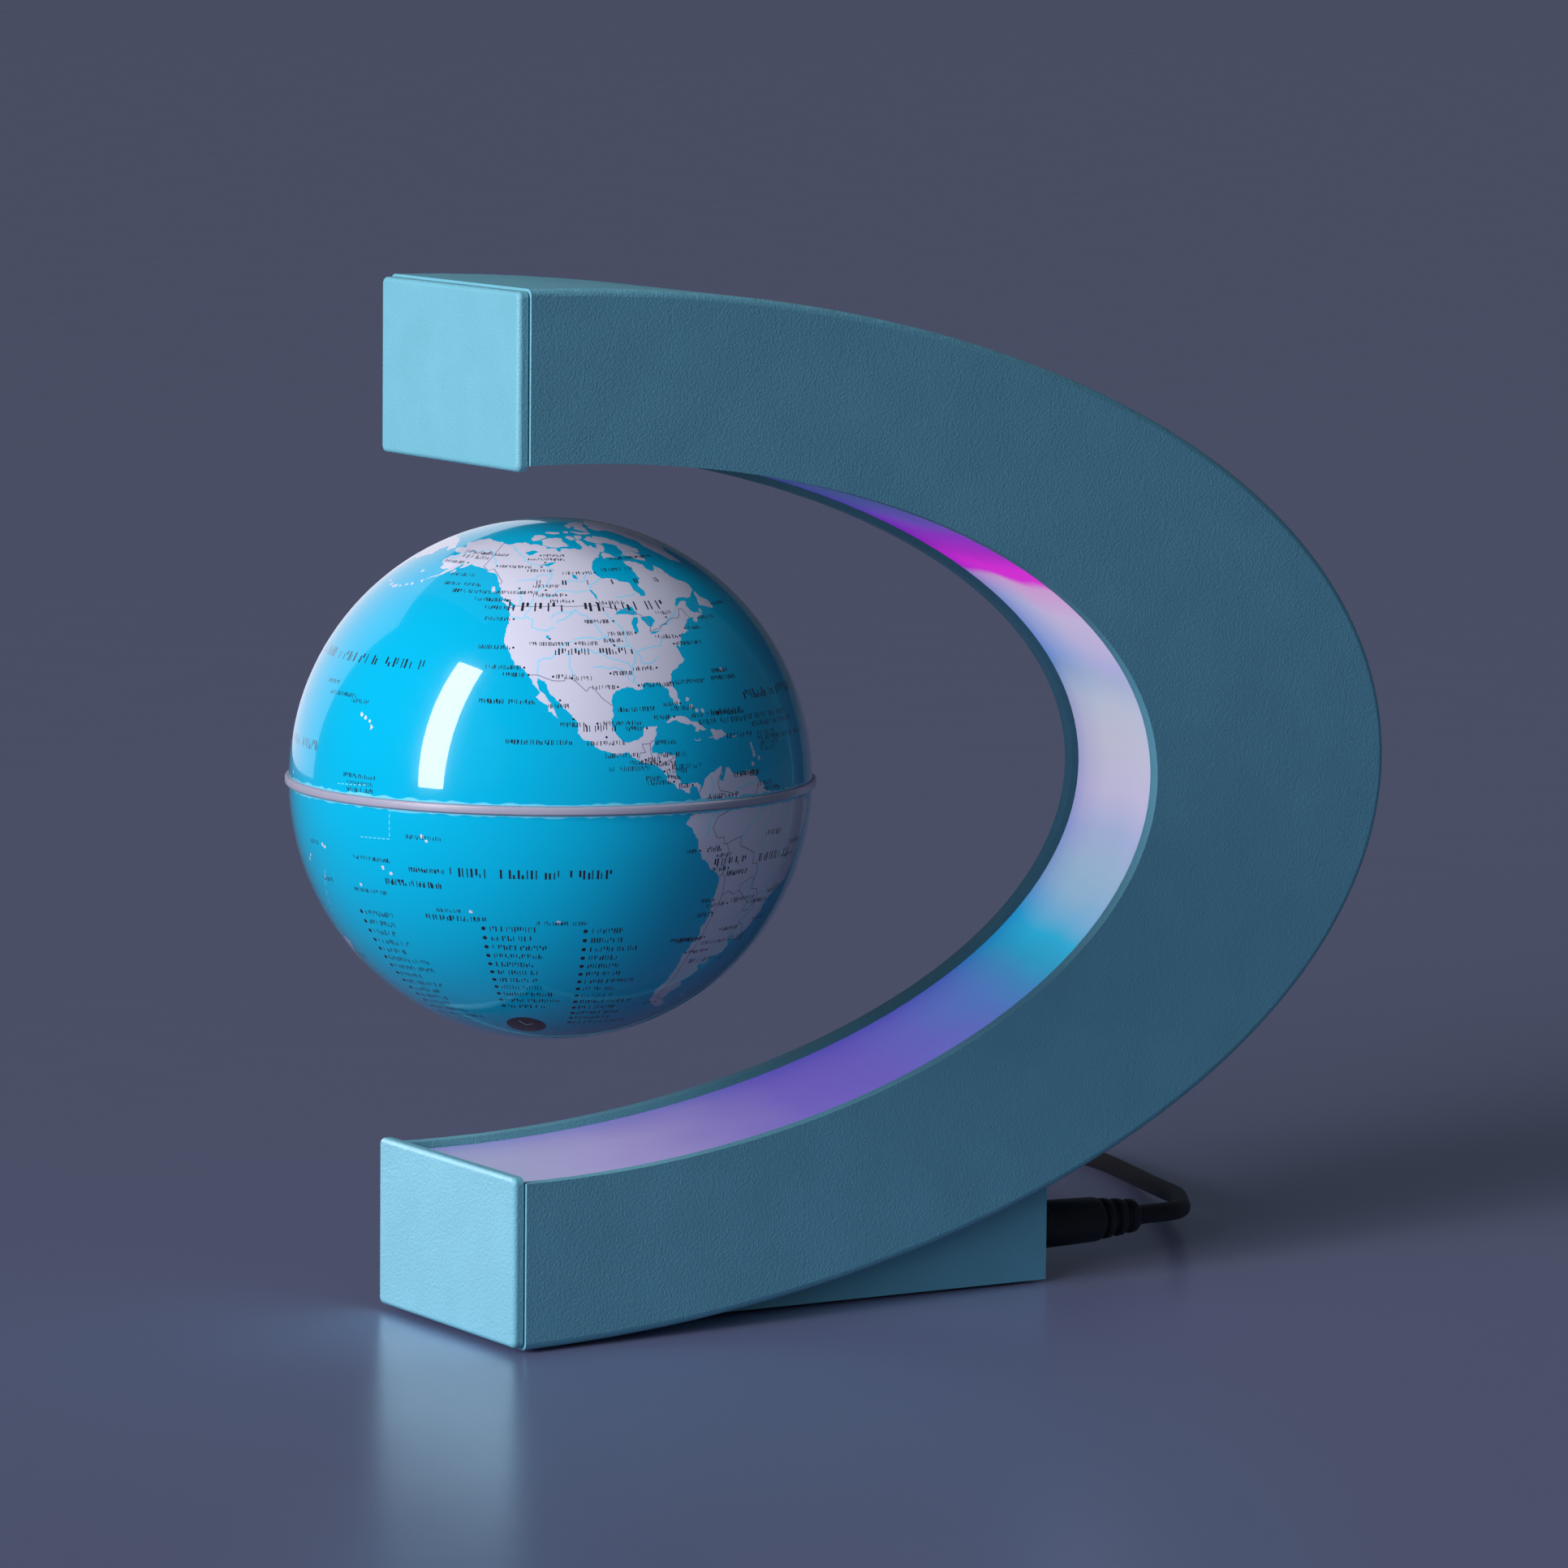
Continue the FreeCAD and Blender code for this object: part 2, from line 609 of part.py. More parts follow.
def electromagnet():
    """Spool, winding and iron core above the globe, under a steel bracket."""
    axis = D["globe_offset"]
    base, top = D["coil_base"], D["bracket_level"]
    low, high = base + 1.0, top - 0.2
    spool, tube = D["bobbin_radius"], D["core_radius"] + 1.0

    core = node("electromagnet_core", new_body("electromagnet_core"))
    sketch = new_sketch(core, "XZ_Plane")
    rectangle(sketch, 0, D["core_radius"], base, top)
    revolution(core, sketch, "V_Axis")
    place(core, x=axis)

    bobbin = node("electromagnet_bobbin", new_body("electromagnet_bobbin"))
    sketch = new_sketch(bobbin, "XZ_Plane")
    bore = D["core_radius"] + 0.05
    polygon(sketch, [
        (bore, low), (spool, low), (spool, low + 1.2), (tube, low + 1.2),
        (tube, high - 1.2), (spool, high - 1.2), (spool, high), (bore, high),
    ])
    revolution(bobbin, sketch, "V_Axis")
    place(bobbin, x=axis)

    winding = node("electromagnet_winding", new_body("electromagnet_winding"))
    sketch = new_sketch(winding, "XZ_Plane")
    rectangle(sketch, tube + 0.05, spool - 0.6, low + 1.25, high - 1.25)
    revolution(winding, sketch, "V_Axis")
    place(winding, x=axis)

    bracket = node("magnet_bracket", new_body("magnet_bracket"))
    sketch = new_sketch(bracket, "XY_Plane")
    rectangle(sketch, axis - 12.0, axis + 12.0, -19.0, 19.0)
    for x, y in BOSS_SPOTS:
        circle(sketch, x, y, D["screw_radius"] + 0.1)
    pad(bracket, sketch, D["board_thickness"])
    place(bracket, z=top)
    screws("bracket_screws", BOSS_SPOTS, [top, top], 4.4, head_down=True)

    board = box("hall_board_blank", (axis - 8.0, -6.0, base - 1.3), (axis + 8.0, 6.0, base - 0.3))
    sensor = box("hall_sensor", (axis - 2.0, -1.5, base - 2.0), (axis + 2.0, 1.5, base - 1.2))
    node("hall_sensor_board", fuse_all("hall_board", [board, sensor]))


def control_board():
    """Circuit board on four posts in the lower arm, with its components and screws."""
    level = D["board_level"]
    top = level + D["board_thickness"]
    board = node("control_board", new_body("control_board"))
    sketch = new_sketch(board, "XY_Plane")
    rectangle(sketch, 6.0, 56.0, -16.5, 16.5)
    for x, y in POST_SPOTS:
        circle(sketch, x, y, D["screw_radius"] + 0.1)
    pad(board, sketch, D["board_thickness"])
    place(board, z=level)
    screws("board_screws", POST_SPOTS, [top] * 4, 5.0, head_down=False)

    chips = [
        ("processor", 26.0, 0.0, 7.0, 7.0, 1.2), ("coil_driver", 40.0, 4.0, 5.0, 4.0, 1.6),
        ("regulator", 45.0, -7.0, 6.5, 6.0, 2.3), ("inductor", 36.0, -8.0, 6.0, 6.0, 3.0),
        ("coil_socket", 17.0, 10.0, 8.0, 5.0, 5.0), ("led_socket", 17.0, -10.0, 8.0, 5.0, 5.0),
    ]
    made = []
    for name, x, y, length, width, height in chips:
        low = (x - length / 2, y - width / 2, top)
        high = (x + length / 2, y + width / 2, top + height)
        made.append(box(name, low, high))
    for number, (x, y) in enumerate([(48.0, 3.5), (33.0, 11.0)]):
        made.append(cylinder(f"capacitor_{number}", 3.15, 6.5, x, y, top))
    group("board_components", made)


def ballast_plate():
    """Steel block low in the arm below the globe, which keeps the stand from tipping back."""
    node("ballast_plate", box("ballast_plate", (14.0, -15.0, 6.6), (47.0, 15.0, 13.2)))


LED_COUNT = 15
LED_SPREAD = 62.0  # degrees of the ellipse each side of the back of the curve


def led_strip():
    """Flexible strip on the inside of the outer wall, with square light sources on it."""
    inside = grown(OUTER, -D["wall"] - 0.05)
    strip = node("led_strip", new_body("led_strip"))
    sketch = new_sketch(strip, "XZ_Plane")
    crescent(sketch, inside, grown(inside, -0.6), as_size(70.0))
    pad(strip, sketch, 8.0, midplane=True)
    place(strip)

    lights = []
    reach, rise = inside[2] - 2.4, inside[3] - 2.4
    for number in range(LED_COUNT):
        turn = math.radians(LED_SPREAD * (2.0 * number / (LED_COUNT - 1) - 1.0))
        light = document.addObject("Part::Box", f"led_{number:02d}")
        light.Length, light.Width, light.Height = 1.5, 5.0, 5.0
        slope = math.atan2(math.sin(turn) / rise.number, math.cos(turn) / reach.number)
        rotation = FreeCAD.Rotation(FreeCAD.Vector(0, 1, 0), -math.degrees(slope))
        corner = rotation.multVec(FreeCAD.Vector(0.0, -2.5, -2.5))
        light.Placement.Rotation = rotation
        place(light, reach * math.cos(turn) + corner.x, corner.y, OUTER[1] + rise * math.sin(turn) + corner.z)
        lights.append(light)
    group("led_lights", lights)


def coil_cable():
    """Ribbon from the control board round the inside of the outer wall to the electromagnet."""
    inside = grown(OUTER, -D["wall"] - 0.1)
    body = node("coil_cable", new_body("coil_cable"))
    sketch = new_sketch(body, "XZ_Plane")
    crescent(sketch, inside, grown(inside, -1.0), as_size(34.0))
    pad(body, sketch, 3.0)
    place(body, y=as_size(7.6))


def tube_along(points, diameter):
    """Round tube along straight runs joined by the largest arcs that their corners allow."""
    points = [FreeCAD.Vector(*point) for point in points]
    runs = [second - first for first, second in zip(points, points[1:])]
    edges, radii, last = [], [], points[0]
    for corner, before, after in zip(points[1:], runs, runs[1:]):
        reach = 0.45 * min(before.Length, after.Length)
        ahead, behind = FreeCAD.Vector(after).normalize(), FreeCAD.Vector(before).normalize()
        turn = behind.getAngle(ahead)
        radius = reach / math.tan(turn / 2.0)
        start, end = corner - behind * reach, corner + ahead * reach
        inward = (ahead - behind).normalize()
        middle = corner + inward * (radius / math.cos(turn / 2.0) - radius)
        edges.append(Part.LineSegment(last, start).toShape())
        edges.append(Part.Arc(start, middle, end).toShape())
        radii.append(round(radius, 1))
        last = end
    edges.append(Part.LineSegment(last, points[-1]).toShape())
    path = Part.Wire(edges)
    ring = Part.Circle(points[0], runs[0], diameter / 2.0).toShape()
    tube = path.makePipeShell([Part.Wire([ring])], True, False)
    wanted = math.pi * (diameter / 2.0) ** 2 * path.Length
    if abs(tube.Volume / wanted - 1.0) > 0.01:
        raise RuntimeError(f"a tube's volume is {tube.Volume:.1f}, not {wanted:.1f}")
    return tube, path.Length, radii


def tube_node(name, points, diameter):
    tube, length, radii = tube_along(points, diameter)
    thing = document.addObject("Part::Feature", name)
    thing.Shape = tube
    thing.Placement = FreeCAD.Placement()
    return node(name, thing), length, radii


def jack_leads():
    """Two wires from the socket, through the foot and the shell's floor, to the control board."""
    made = []
    for number, side in enumerate((-0.9, 0.9)):
        route = [(93.9, side, 6.2), (84.0, side * 1.1, 5.2), (75.0, side, 5.0), (69.0, side * 1.1, 5.6)]
        route += [(65.6, side, 9.4), (63.8, side * 1.1, 13.6), (59.6, side, 16.8), (54.5, side * 1.2, 17.0)]
        tube, _, _ = tube_along([(x - MID_X.number, y, z + D["stand_off"].number) for x, y, z in route], 1.3)
        wire = document.addObject("Part::Feature", f"jack_lead_{number}")
        wire.Shape = tube
        wire.Placement = FreeCAD.Placement()
        made.append(wire)
    group("jack_leads", made)


# ---------------------------------------------------------------- the globe


def hemisphere(name, up):
    """Half of the hollow printed sphere; up is 1 for the north, -1 for the south."""
    axis, level = D["globe_offset"], D["globe_level"]
    spheres = []
    for part, radius in (("skin", D["globe_radius"]), ("hollow", D["globe_radius"] - D["globe_wall"])):
        sphere = document.addObject("Part::Sphere", f"{name}_{part}")
        bind(sphere, "Radius", radius)
        place(sphere, axis, ZERO, level)
        spheres.append(sphere)
    ball = combine("Cut", f"{name}_ball", *spheres)
    seat = D["ring_height"] / 2.0
    reach = D["globe_radius"] + 5.0
    base = level + seat if up > 0 else level - seat - reach
    side = cylinder(f"{name}_side", reach, reach, axis, ZERO, base)
    node(name, combine("Common", f"{name}_half", ball, side))


def equator_ring():
    """Grey ring between the hemispheres, with a lip inside each of them."""
    body = node("equator_ring", new_body("equator_ring"))
    sketch = new_sketch(body, "XZ_Plane")
    outside, shelf, bore = D["ring_radius"], D["lip_radius"], D["ring_bore"]
    band = D["ring_height"] / 2.0
    tip = band + D["lip"]
    polygon(sketch, [
        (bore, -tip), (shelf, -tip), (shelf, -band), (outside, -band),
        (outside, band), (shelf, band), (shelf, tip), (bore, tip),
    ])
    turned = revolution(body, sketch, "V_Axis")
    limit = outside.number * 2.0 - 0.01
    fillet(body, turned, lambda edge: edge.BoundBox.XLength > limit, as_size(0.3))
    place(body, D["globe_offset"], ZERO, D["globe_level"])


def globe_magnet():
    """Disc magnet under the north pole, its holder and the disc that keeps it in."""
    axis, centre = D["globe_offset"], D["globe_level"]
    under = D["magnet_level"]
    gap = D["magnet_gap"]
    seat = centre + under - gap
    radius, thickness = D["magnet_radius"], D["magnet_thickness"]
    node("globe_magnet", cylinder("globe_magnet", radius, thickness, axis, ZERO, centre + under))

    column = cylinder("holder_column", D["holder_radius"], 14.0, axis, ZERO, seat)
    dome = document.addObject("Part::Sphere", "holder_dome")
    bind(dome, "Radius", D["globe_radius"] - D["globe_wall"])
    place(dome, axis, ZERO, centre)
    recess = cylinder("holder_recess", radius + gap, thickness + gap * 2.0, axis, ZERO, seat)
    node("magnet_holder", combine("Cut", "holder", combine("Common", "holder_block", column, dome), recess))
    node("magnet_retainer", cylinder("magnet_retainer", D["holder_radius"], 1.4, axis, ZERO, seat - 1.4))


# ---------------------------------------------------------------- cord and plugs


def dc_plug():
    """Moulded grip that tapers to three collars, and the hollow metal barrel in the socket."""
    body = node("dc_plug", new_body("dc_plug"))
    sketch = new_sketch(body, "XZ_Plane")
    length = D["plug_length"]
    ribs = [(17.0, 3.4), (19.6, 3.1), (22.2, 2.8)]
    neck = 2.2
    outline = [(0.1, 0), (0.1, 4.05), (16.2, 3.65), (16.2, neck)]
    for start, radius in ribs:
        outline += [(start, neck), (start, radius), (start + 1.8, radius - 0.2), (start + 1.8, neck)]
    outline += [(length, neck), (length, 0)]
    polygon(sketch, outline)
    revolution(body, sketch, "H_Axis")
    place(body, D["foot_end"], ZERO, D["jack_level"])

    barrel = node("plug_barrel", new_body("plug_barrel"))
    sketch = new_sketch(barrel, "XZ_Plane")
    polygon(sketch, [(-9.5, 1.25), (0.1, 1.25), (0.1, 2.75), (-9.5, 2.75)])
    revolution(barrel, sketch, "H_Axis")
    place(barrel, D["foot_end"], ZERO, D["jack_level"])


def cord_coil():
    """Outer shape of the wound length of cord: a flat ring, two turns high."""
    half = D["cord_diameter"] / 2.0
    body = node("power_cord_coil", new_body("power_cord_coil"))
    sketch = new_sketch(body, "XZ_Plane")
    inner, outer = D["coil_turn_inner"] - half - 1.6, D["coil_turn_outer"] + half
    rectangle(sketch, inner, outer, 0, D["cord_diameter"] * 2.0)
    turned = revolution(body, sketch, "V_Axis")
    rims = lambda edge: edge.BoundBox.XLength > 1.0 and edge.BoundBox.ZLength < 0.1
    fillet(body, turned, rims, as_size(1.2))
    body.Placement.Base = FreeCAD.Vector(*COIL_CENTRE, 0)


def far_plug():
    """Plug at the cord's far end: a moulded grip with a strain relief, a metal shell, a tongue."""
    end = FreeCAD.Vector(*TAIL_ROUTE[-1])
    heading = FreeCAD.Rotation(FreeCAD.Vector(0, 0, 1), FAR_PLUG_HEADING)

    grip = node("usb_grip", new_body("usb_grip"))
    sketch = new_sketch(grip, "XZ_Plane")
    relief = [(0, 0), (0, 2.3), (2.2, 2.35), (2.2, 1.9), (3.2, 1.9), (3.2, 2.6), (5.4, 2.7), (5.4, 2.1)]
    relief += [(6.4, 2.1), (6.4, 3.0), (9.5, 3.3), (9.5, 0)]
    polygon(sketch, relief)
    revolution(grip, sketch, "H_Axis")
    sketch = new_sketch(grip, "XY_Plane")
    polygon(sketch, [(8.5, -5.2), (11.5, -7.6), (30.0, -7.6), (30.0, 7.6), (11.5, 7.6), (8.5, 5.2)])
    slab = pad(grip, sketch, 7.6, midplane=True)
    fillet(grip, slab, lambda edge: edge.BoundBox.ZLength > 7.5 and edge.BoundBox.XLength < 0.1, as_size(0.9))

    shell = node("usb_shell", new_body("usb_shell"))
    sketch = new_sketch(shell, "YZ_Plane")
    rectangle(sketch, -6.0, 6.0, -2.25, 2.25)
    rectangle(sketch, -5.7, 5.7, -1.95, 1.95)
    pad(shell, sketch, 12.0)
    tongue = node("usb_tongue", new_body("usb_tongue"))
    sketch = new_sketch(tongue, "YZ_Plane")
    rectangle(sketch, -5.6, 5.6, -1.85, 0.1)
    pad(tongue, sketch, 11.2)
    forward = heading.multVec(FreeCAD.Vector(30.0, 0, 0))
    grip.Placement = FreeCAD.Placement(end, heading)
    for piece in (shell, tongue):
        piece.Placement = FreeCAD.Placement(end + forward, heading)


def power_cord():
    """The cord's two free stretches; prints their lengths and bend radii."""
    diameter = D["cord_diameter"].number
    for name, route in CORD_RUNS.items():
        _, length, radii = tube_node(name, route, diameter)
        print(f"{name}: {length:.1f} mm, arc radii {radii}")


# ---------------------------------------------------------------- build, check and write


def build():
    c_shell()
    led_diffuser()
    end_cap("top_end_cap", D["frame_height"], UPPER_BASE)
    end_cap("bottom_end_cap", ZERO, LOWER_TOP)
    foot_housing()
    foot_cover()
    screws("foot_screws", FOOT_SCREW_SPOTS, [1.2, 1.2], 3.9, head_down=True)
    anti_slip_pads()
    dc_jack()
    electromagnet()
    control_board()
    ballast_plate()
    led_strip()
    coil_cable()
    jack_leads()
    hemisphere("upper_hemisphere", 1.0)
    hemisphere("lower_hemisphere", -1.0)
    equator_ring()
    globe_magnet()
    dc_plug()
    power_cord()
    cord_coil()
    far_plug()
    document.recompute()


def check_document():
    for thing in document.Objects:
        if "Invalid" in thing.State or "Error" in thing.State:
            raise RuntimeError(f"{thing.Name} is {thing.State}")
    for name, thing in nodes.items():
        if thing.Shape.isNull() or not thing.Shape.isValid() or not thing.Shape.Solids:
            raise RuntimeError(f"{name} has no valid solid")


def write_parts():
    os.makedirs("parts", exist_ok=True)
    for name, thing in nodes.items():
        thing.Shape.exportStep(f"parts/{name}.step")
        solids = len(thing.Shape.Solids)
        print(f"{name}: {solids} solid(s), {thing.Shape.Volume / 1000.0:.2f} cm3")


build()
check_document()
write_parts()
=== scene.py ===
import math
import random

import bpy
import numpy as np
from mathutils import Matrix, Vector
from mathutils.geometry import delaunay_2d_cdt

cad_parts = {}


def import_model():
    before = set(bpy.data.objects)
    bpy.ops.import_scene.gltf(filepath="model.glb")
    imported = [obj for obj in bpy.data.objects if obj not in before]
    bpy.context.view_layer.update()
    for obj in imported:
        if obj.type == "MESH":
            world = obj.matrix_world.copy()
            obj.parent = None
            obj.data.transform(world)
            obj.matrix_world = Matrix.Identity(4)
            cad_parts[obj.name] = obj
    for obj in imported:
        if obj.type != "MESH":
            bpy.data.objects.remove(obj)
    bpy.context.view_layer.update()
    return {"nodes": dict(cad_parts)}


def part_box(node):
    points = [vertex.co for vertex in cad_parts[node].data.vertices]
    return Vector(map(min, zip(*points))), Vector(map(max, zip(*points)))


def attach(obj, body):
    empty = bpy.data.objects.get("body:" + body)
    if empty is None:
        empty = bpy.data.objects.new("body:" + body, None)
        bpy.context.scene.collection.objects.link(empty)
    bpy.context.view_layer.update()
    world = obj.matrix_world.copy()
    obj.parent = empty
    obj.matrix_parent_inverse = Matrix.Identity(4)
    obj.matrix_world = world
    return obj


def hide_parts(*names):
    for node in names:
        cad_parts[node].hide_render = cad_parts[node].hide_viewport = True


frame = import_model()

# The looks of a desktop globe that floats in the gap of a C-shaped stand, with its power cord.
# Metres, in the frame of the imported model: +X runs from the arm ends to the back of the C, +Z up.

MM = 0.001


# ---- helpers --------------------------------------------------------------------------------------------

def colour(display):
    """The linear RGBA of a display colour written as six hex digits."""
    parts = [int(display[i:i + 2], 16) / 255 for i in (0, 2, 4)]
    return [*(c / 12.92 if c <= 0.04045 else ((c + 0.055) / 1.055) ** 2.4 for c in parts), 1.0]


def new_mesh(name, verts, faces, smooth=True):
    """A mesh object with its vertices in the model's frame."""
    mesh = bpy.data.meshes.new(name)
    mesh.from_pydata([tuple(v) for v in verts], [], faces)
    mesh.validate()
    if smooth:
        mesh.shade_smooth()
    else:
        mesh.shade_flat()
    obj = bpy.data.objects.new(name, mesh)
    bpy.context.scene.collection.objects.link(obj)
    return obj


def lathe(name, profile_at, place, segments):
    """A solid of revolution. profile_at(k) is the closed loop of (along, radius) at segment k, and place
    maps (along, across, above) to the model's frame."""
    verts, faces = [], []
    count = len(profile_at(0))
    for k in range(segments):
        turn = 2 * math.pi * k / segments
        for along, radius in profile_at(k):
            verts.append(place @ Vector((along, radius * math.cos(turn), radius * math.sin(turn))))
        after = (k + 1) % segments
        for i in range(count):
            j = (i + 1) % count
            faces.append((k * count + i, k * count + j, after * count + j, after * count + i))
    return new_mesh(name, verts, faces)


def heading(azimuth, elevation):
    """A direction. Azimuth is counter-clockwise from +X, and both angles are in degrees."""
    a, e = math.radians(azimuth), math.radians(elevation)
    return Vector((math.cos(a) * math.cos(e), math.sin(a) * math.cos(e), math.sin(e)))


# ---- materials ------------------------------------------------------------------------------------------

class Finish:
    """A node material while it is built: a Principled shader, and the nodes that feed it."""

    def __init__(self, name, base, rough, **sockets):
        self.material = bpy.data.materials.new(name)
        self.material.use_nodes = True
        self.tree = self.material.node_tree
        self.shader = self.tree.nodes["Principled BSDF"]
        self.set("Base Color", colour(base))
        self.set("Roughness", rough)
        for socket, value in sockets.items():
            self.set(socket.replace("_", " "), value)
        self.place = self.add("TexCoord").outputs["Object"]
        self.relief = None

    def set(self, socket, value):
        self.shader.inputs[socket].default_value = value

    def add(self, kind, inputs=None, **settings):
        """A node with its settings, and its inputs set to numbers or linked to other nodes' outputs."""
        node = self.tree.nodes.new("ShaderNode" + kind)
        for key, value in settings.items():
            setattr(node, key, value)
        for key, value in (inputs or {}).items():
            if isinstance(value, bpy.types.NodeSocket):
                self.tree.links.new(value, node.inputs[key])
            else:
                node.inputs[key].default_value = value
        return node

    def feed(self, socket, output):
        self.tree.links.new(output, self.shader.inputs[socket])

    def noise(self, size, detail, rough=0.5):
        """Noise whose blobs are about size metres across."""
        node = self.add("TexNoise", {"Vector": self.place, "Scale": 1 / size, "Detail": detail,
                                     "Roughness": rough})
        return node.outputs["Fac"]

    def maths(self, operation, *values):
        node = self.add("Math", operation=operation)
        for socket, value in zip(node.inputs, values):
            if isinstance(value, bpy.types.NodeSocket):
                self.tree.links.new(value, socket)
            else:
                socket.default_value = value
        return node.outputs[0]

    def vector(self, operation, first, second):
        return self.add("VectorMath", {0: first, 1: second}, operation=operation).outputs["Vector"]

    def ramp(self, factor, stops, blend="LINEAR"):
        """A colour ramp with (position, display colour) stops."""
        node = self.add("ValToRGB", {"Fac": factor})
        node.color_ramp.interpolation = blend
        elements = node.color_ramp.elements
        for element, (position, shade) in zip(elements, (stops[0], stops[-1])):
            element.position = position
            element.color = colour(shade)
        for position, shade in stops[1:-1]:
            elements.new(position).color = colour(shade)
        return node.outputs["Color"]

    def bump(self, height, distance):
        """Adds relief of the given depth in metres to the surface."""
        inputs = {"Height": height, "Distance": distance, "Strength": 1.0}
        if self.relief:
            inputs["Normal"] = self.relief
        self.relief = self.add("Bump", inputs).outputs["Normal"]
        self.feed("Normal", self.relief)

    def vary(self, factor, stops):
        """Colours the surface between close shades."""
        self.feed("Base Color", self.ramp(factor, stops))

    def shine(self, factor, low, high):
        """Lets the roughness wander between two values."""
        node = self.add("MapRange", {"Value": factor, "To Min": low, "To Max": high})
        self.feed("Roughness", node.outputs["Result"])


def moulded(name, shade, other, rough, grain=0.32 * MM, depth=0.02 * MM):
    """Injection-moulded plastic: faint blotches of two shades, a grain, and a slow waviness."""
    finish = Finish(name, shade, rough)
    finish.vary(finish.noise(11 * MM, 3), [(0.3, shade), (0.7, other)])
    finish.shine(finish.noise(2.5 * MM, 3), rough - 0.05, rough + 0.05)
    finish.bump(finish.noise(grain, 2, 0.6), depth)
    finish.bump(finish.noise(18 * MM, 1), 0.05 * MM)
    return finish.material


def metal(name, shade, rough):
    """Bare or plated metal with fine scratches of uneven shine."""
    finish = Finish(name, shade, rough, Metallic=1.0)
    finish.shine(finish.noise(0.8 * MM, 3), rough * 0.7, rough * 1.3)
    finish.bump(finish.noise(0.15 * MM, 3), 0.004 * MM)
    return finish.material


def circuit_board():
    """Green solder resist with copper runs under it."""
    finish = Finish("circuit_board", "1d5a35", 0.35)
    cells = finish.add("TexVoronoi", {"Vector": finish.place, "Scale": 1 / (2.2 * MM)},
                       distance="MANHATTAN")
    runs = finish.ramp(cells.outputs["Distance"], [(0.42, "1d5a35"), (0.47, "2c7a49")], "CONSTANT")
    finish.feed("Base Color", runs)
    finish.bump(cells.outputs["Distance"], 0.02 * MM)
    return finish.material


def wound_wire():
    """Enamelled copper wire in close turns up the bobbin, with painted shade in the grooves between turns."""
    finish = Finish("winding_copper", "b8622c", 0.3, Metallic=1.0)
    wave = finish.add("TexWave", {"Vector": finish.place, "Scale": 1 / (2.6 * MM), "Distortion": 0.2},
                      bands_direction="Z")
    # painted shade: the colour darkens where the wave sinks into the grooves between turns
    finish.vary(wave.outputs["Fac"], [(0.0, "7a3a18"), (1.0, "c97a3c")])
    finish.bump(wave.outputs["Fac"], 0.12 * MM)
    return finish.material


# The light strip follows an ellipse in the C's hole: its middle, its half sizes, how wide the strip is
# at X = 0, and how much narrower it grows towards the back.
STRIP_X, STRIP_Z = -70.8 * MM, 85.2 * MM
STRIP_REACH_X, STRIP_REACH_Z = 122.3 * MM, 57.5 * MM
STRIP_WIDTH, STRIP_TAPER = 35.9 * MM, 0.1244

# Its colours round that ellipse: the angle up from the middle of the back, in degrees, and the colour.
GLOW = [
    (90, "141c2c"), (66, "2a3450"), (57, "2c4078"), (52, "3c4089"), (48, "583ca2"), (44, "7e18b0"),
    (40, "a400b5"), (36, "cb00c6"), (34.2, "ca10c4"), (33.2, "c290c2"), (28, "b9aacb"), (23, "b0a8cb"),
    (19, "a0a3cb"), (16, "9ba6c2"), (11, "acb4c4"), (4, "b4b4c6"), (-4, "b4b0cc"), (-12, "98a6ca"),
    (-17, "8eaac4"), (-21, "82a8c4"), (-24.5, "5ea2c8"), (-27.5, "00a0c6"), (-32, "0090b6"),
    (-36, "2c7aae"), (-40, "4468ae"), (-46, "5658ae"), (-54, "5c4eac"), (-61, "604eaa"), (-67, "6c60a8"),
    (-73, "7c72ac"), (-80, "8a84b2"), (-90, "8890b0")]

# What the light loses towards the strip's +Y edge, at the same angles.
COOL = [(36, "000000"), (29, "b86400"), (18, "c87000"), (9, "301800"), (4, "000000")]


def glowing_diffuser():
    """A milky strip with a coloured light behind it."""
    finish = Finish("milky_diffuser", "544f68", 0.38)
    finish.set("Emission Strength", 1.0)
    part = finish.add("SeparateXYZ", {"Vector": finish.place}).outputs
    ahead = finish.maths("DIVIDE", finish.maths("SUBTRACT", part["X"], STRIP_X), STRIP_REACH_X)
    rise = finish.maths("DIVIDE", finish.maths("SUBTRACT", part["Z"], STRIP_Z), STRIP_REACH_Z)
    angle = finish.maths("ARCTAN2", rise, ahead)
    sway = finish.maths("MULTIPLY", finish.maths("SUBTRACT", finish.noise(16 * MM, 1), 0.5), 0.12)
    lean = finish.maths("MULTIPLY", part["Y"], -2.0)
    spot = finish.maths("ADD", finish.maths("ADD", angle, sway), lean)
    factor = finish.maths("SUBTRACT", 0.5, finish.maths("DIVIDE", spot, math.pi))
    glow, loss = (finish.ramp(factor, [((90 - t) / 180, shade) for t, shade in stops])
                  for stops in (GLOW, COOL))
    width = finish.maths("SUBTRACT", STRIP_WIDTH, finish.maths("MULTIPLY", part["X"], STRIP_TAPER))
    across = finish.maths("ADD", 0.5, finish.maths("DIVIDE", part["Y"], width))
    edges = finish.ramp(across, [(0.0, "6ab8f0"), (0.08, "eef6ff"), (0.2, "ffffff"), (0.6, "ffffff"),
                                 (0.8, "eeeefa"), (0.93, "ccd0f4"), (1.0, "6a90e6")])
    loss = finish.vector("MULTIPLY", loss, finish.ramp(across, [(0.45, "000000"), (1.0, "ffffff")]))
    left = finish.vector("SUBTRACT", (1, 1, 1), loss)
    finish.feed("Emission Color", finish.vector("MULTIPLY", finish.vector("MULTIPLY", glow, edges), left))
    finish.vary(finish.noise(14 * MM, 2), [(0.3, "524d66"), (0.7, "57526b")])
    finish.bump(finish.noise(0.3 * MM, 2), 0.006 * MM)
    return finish.material


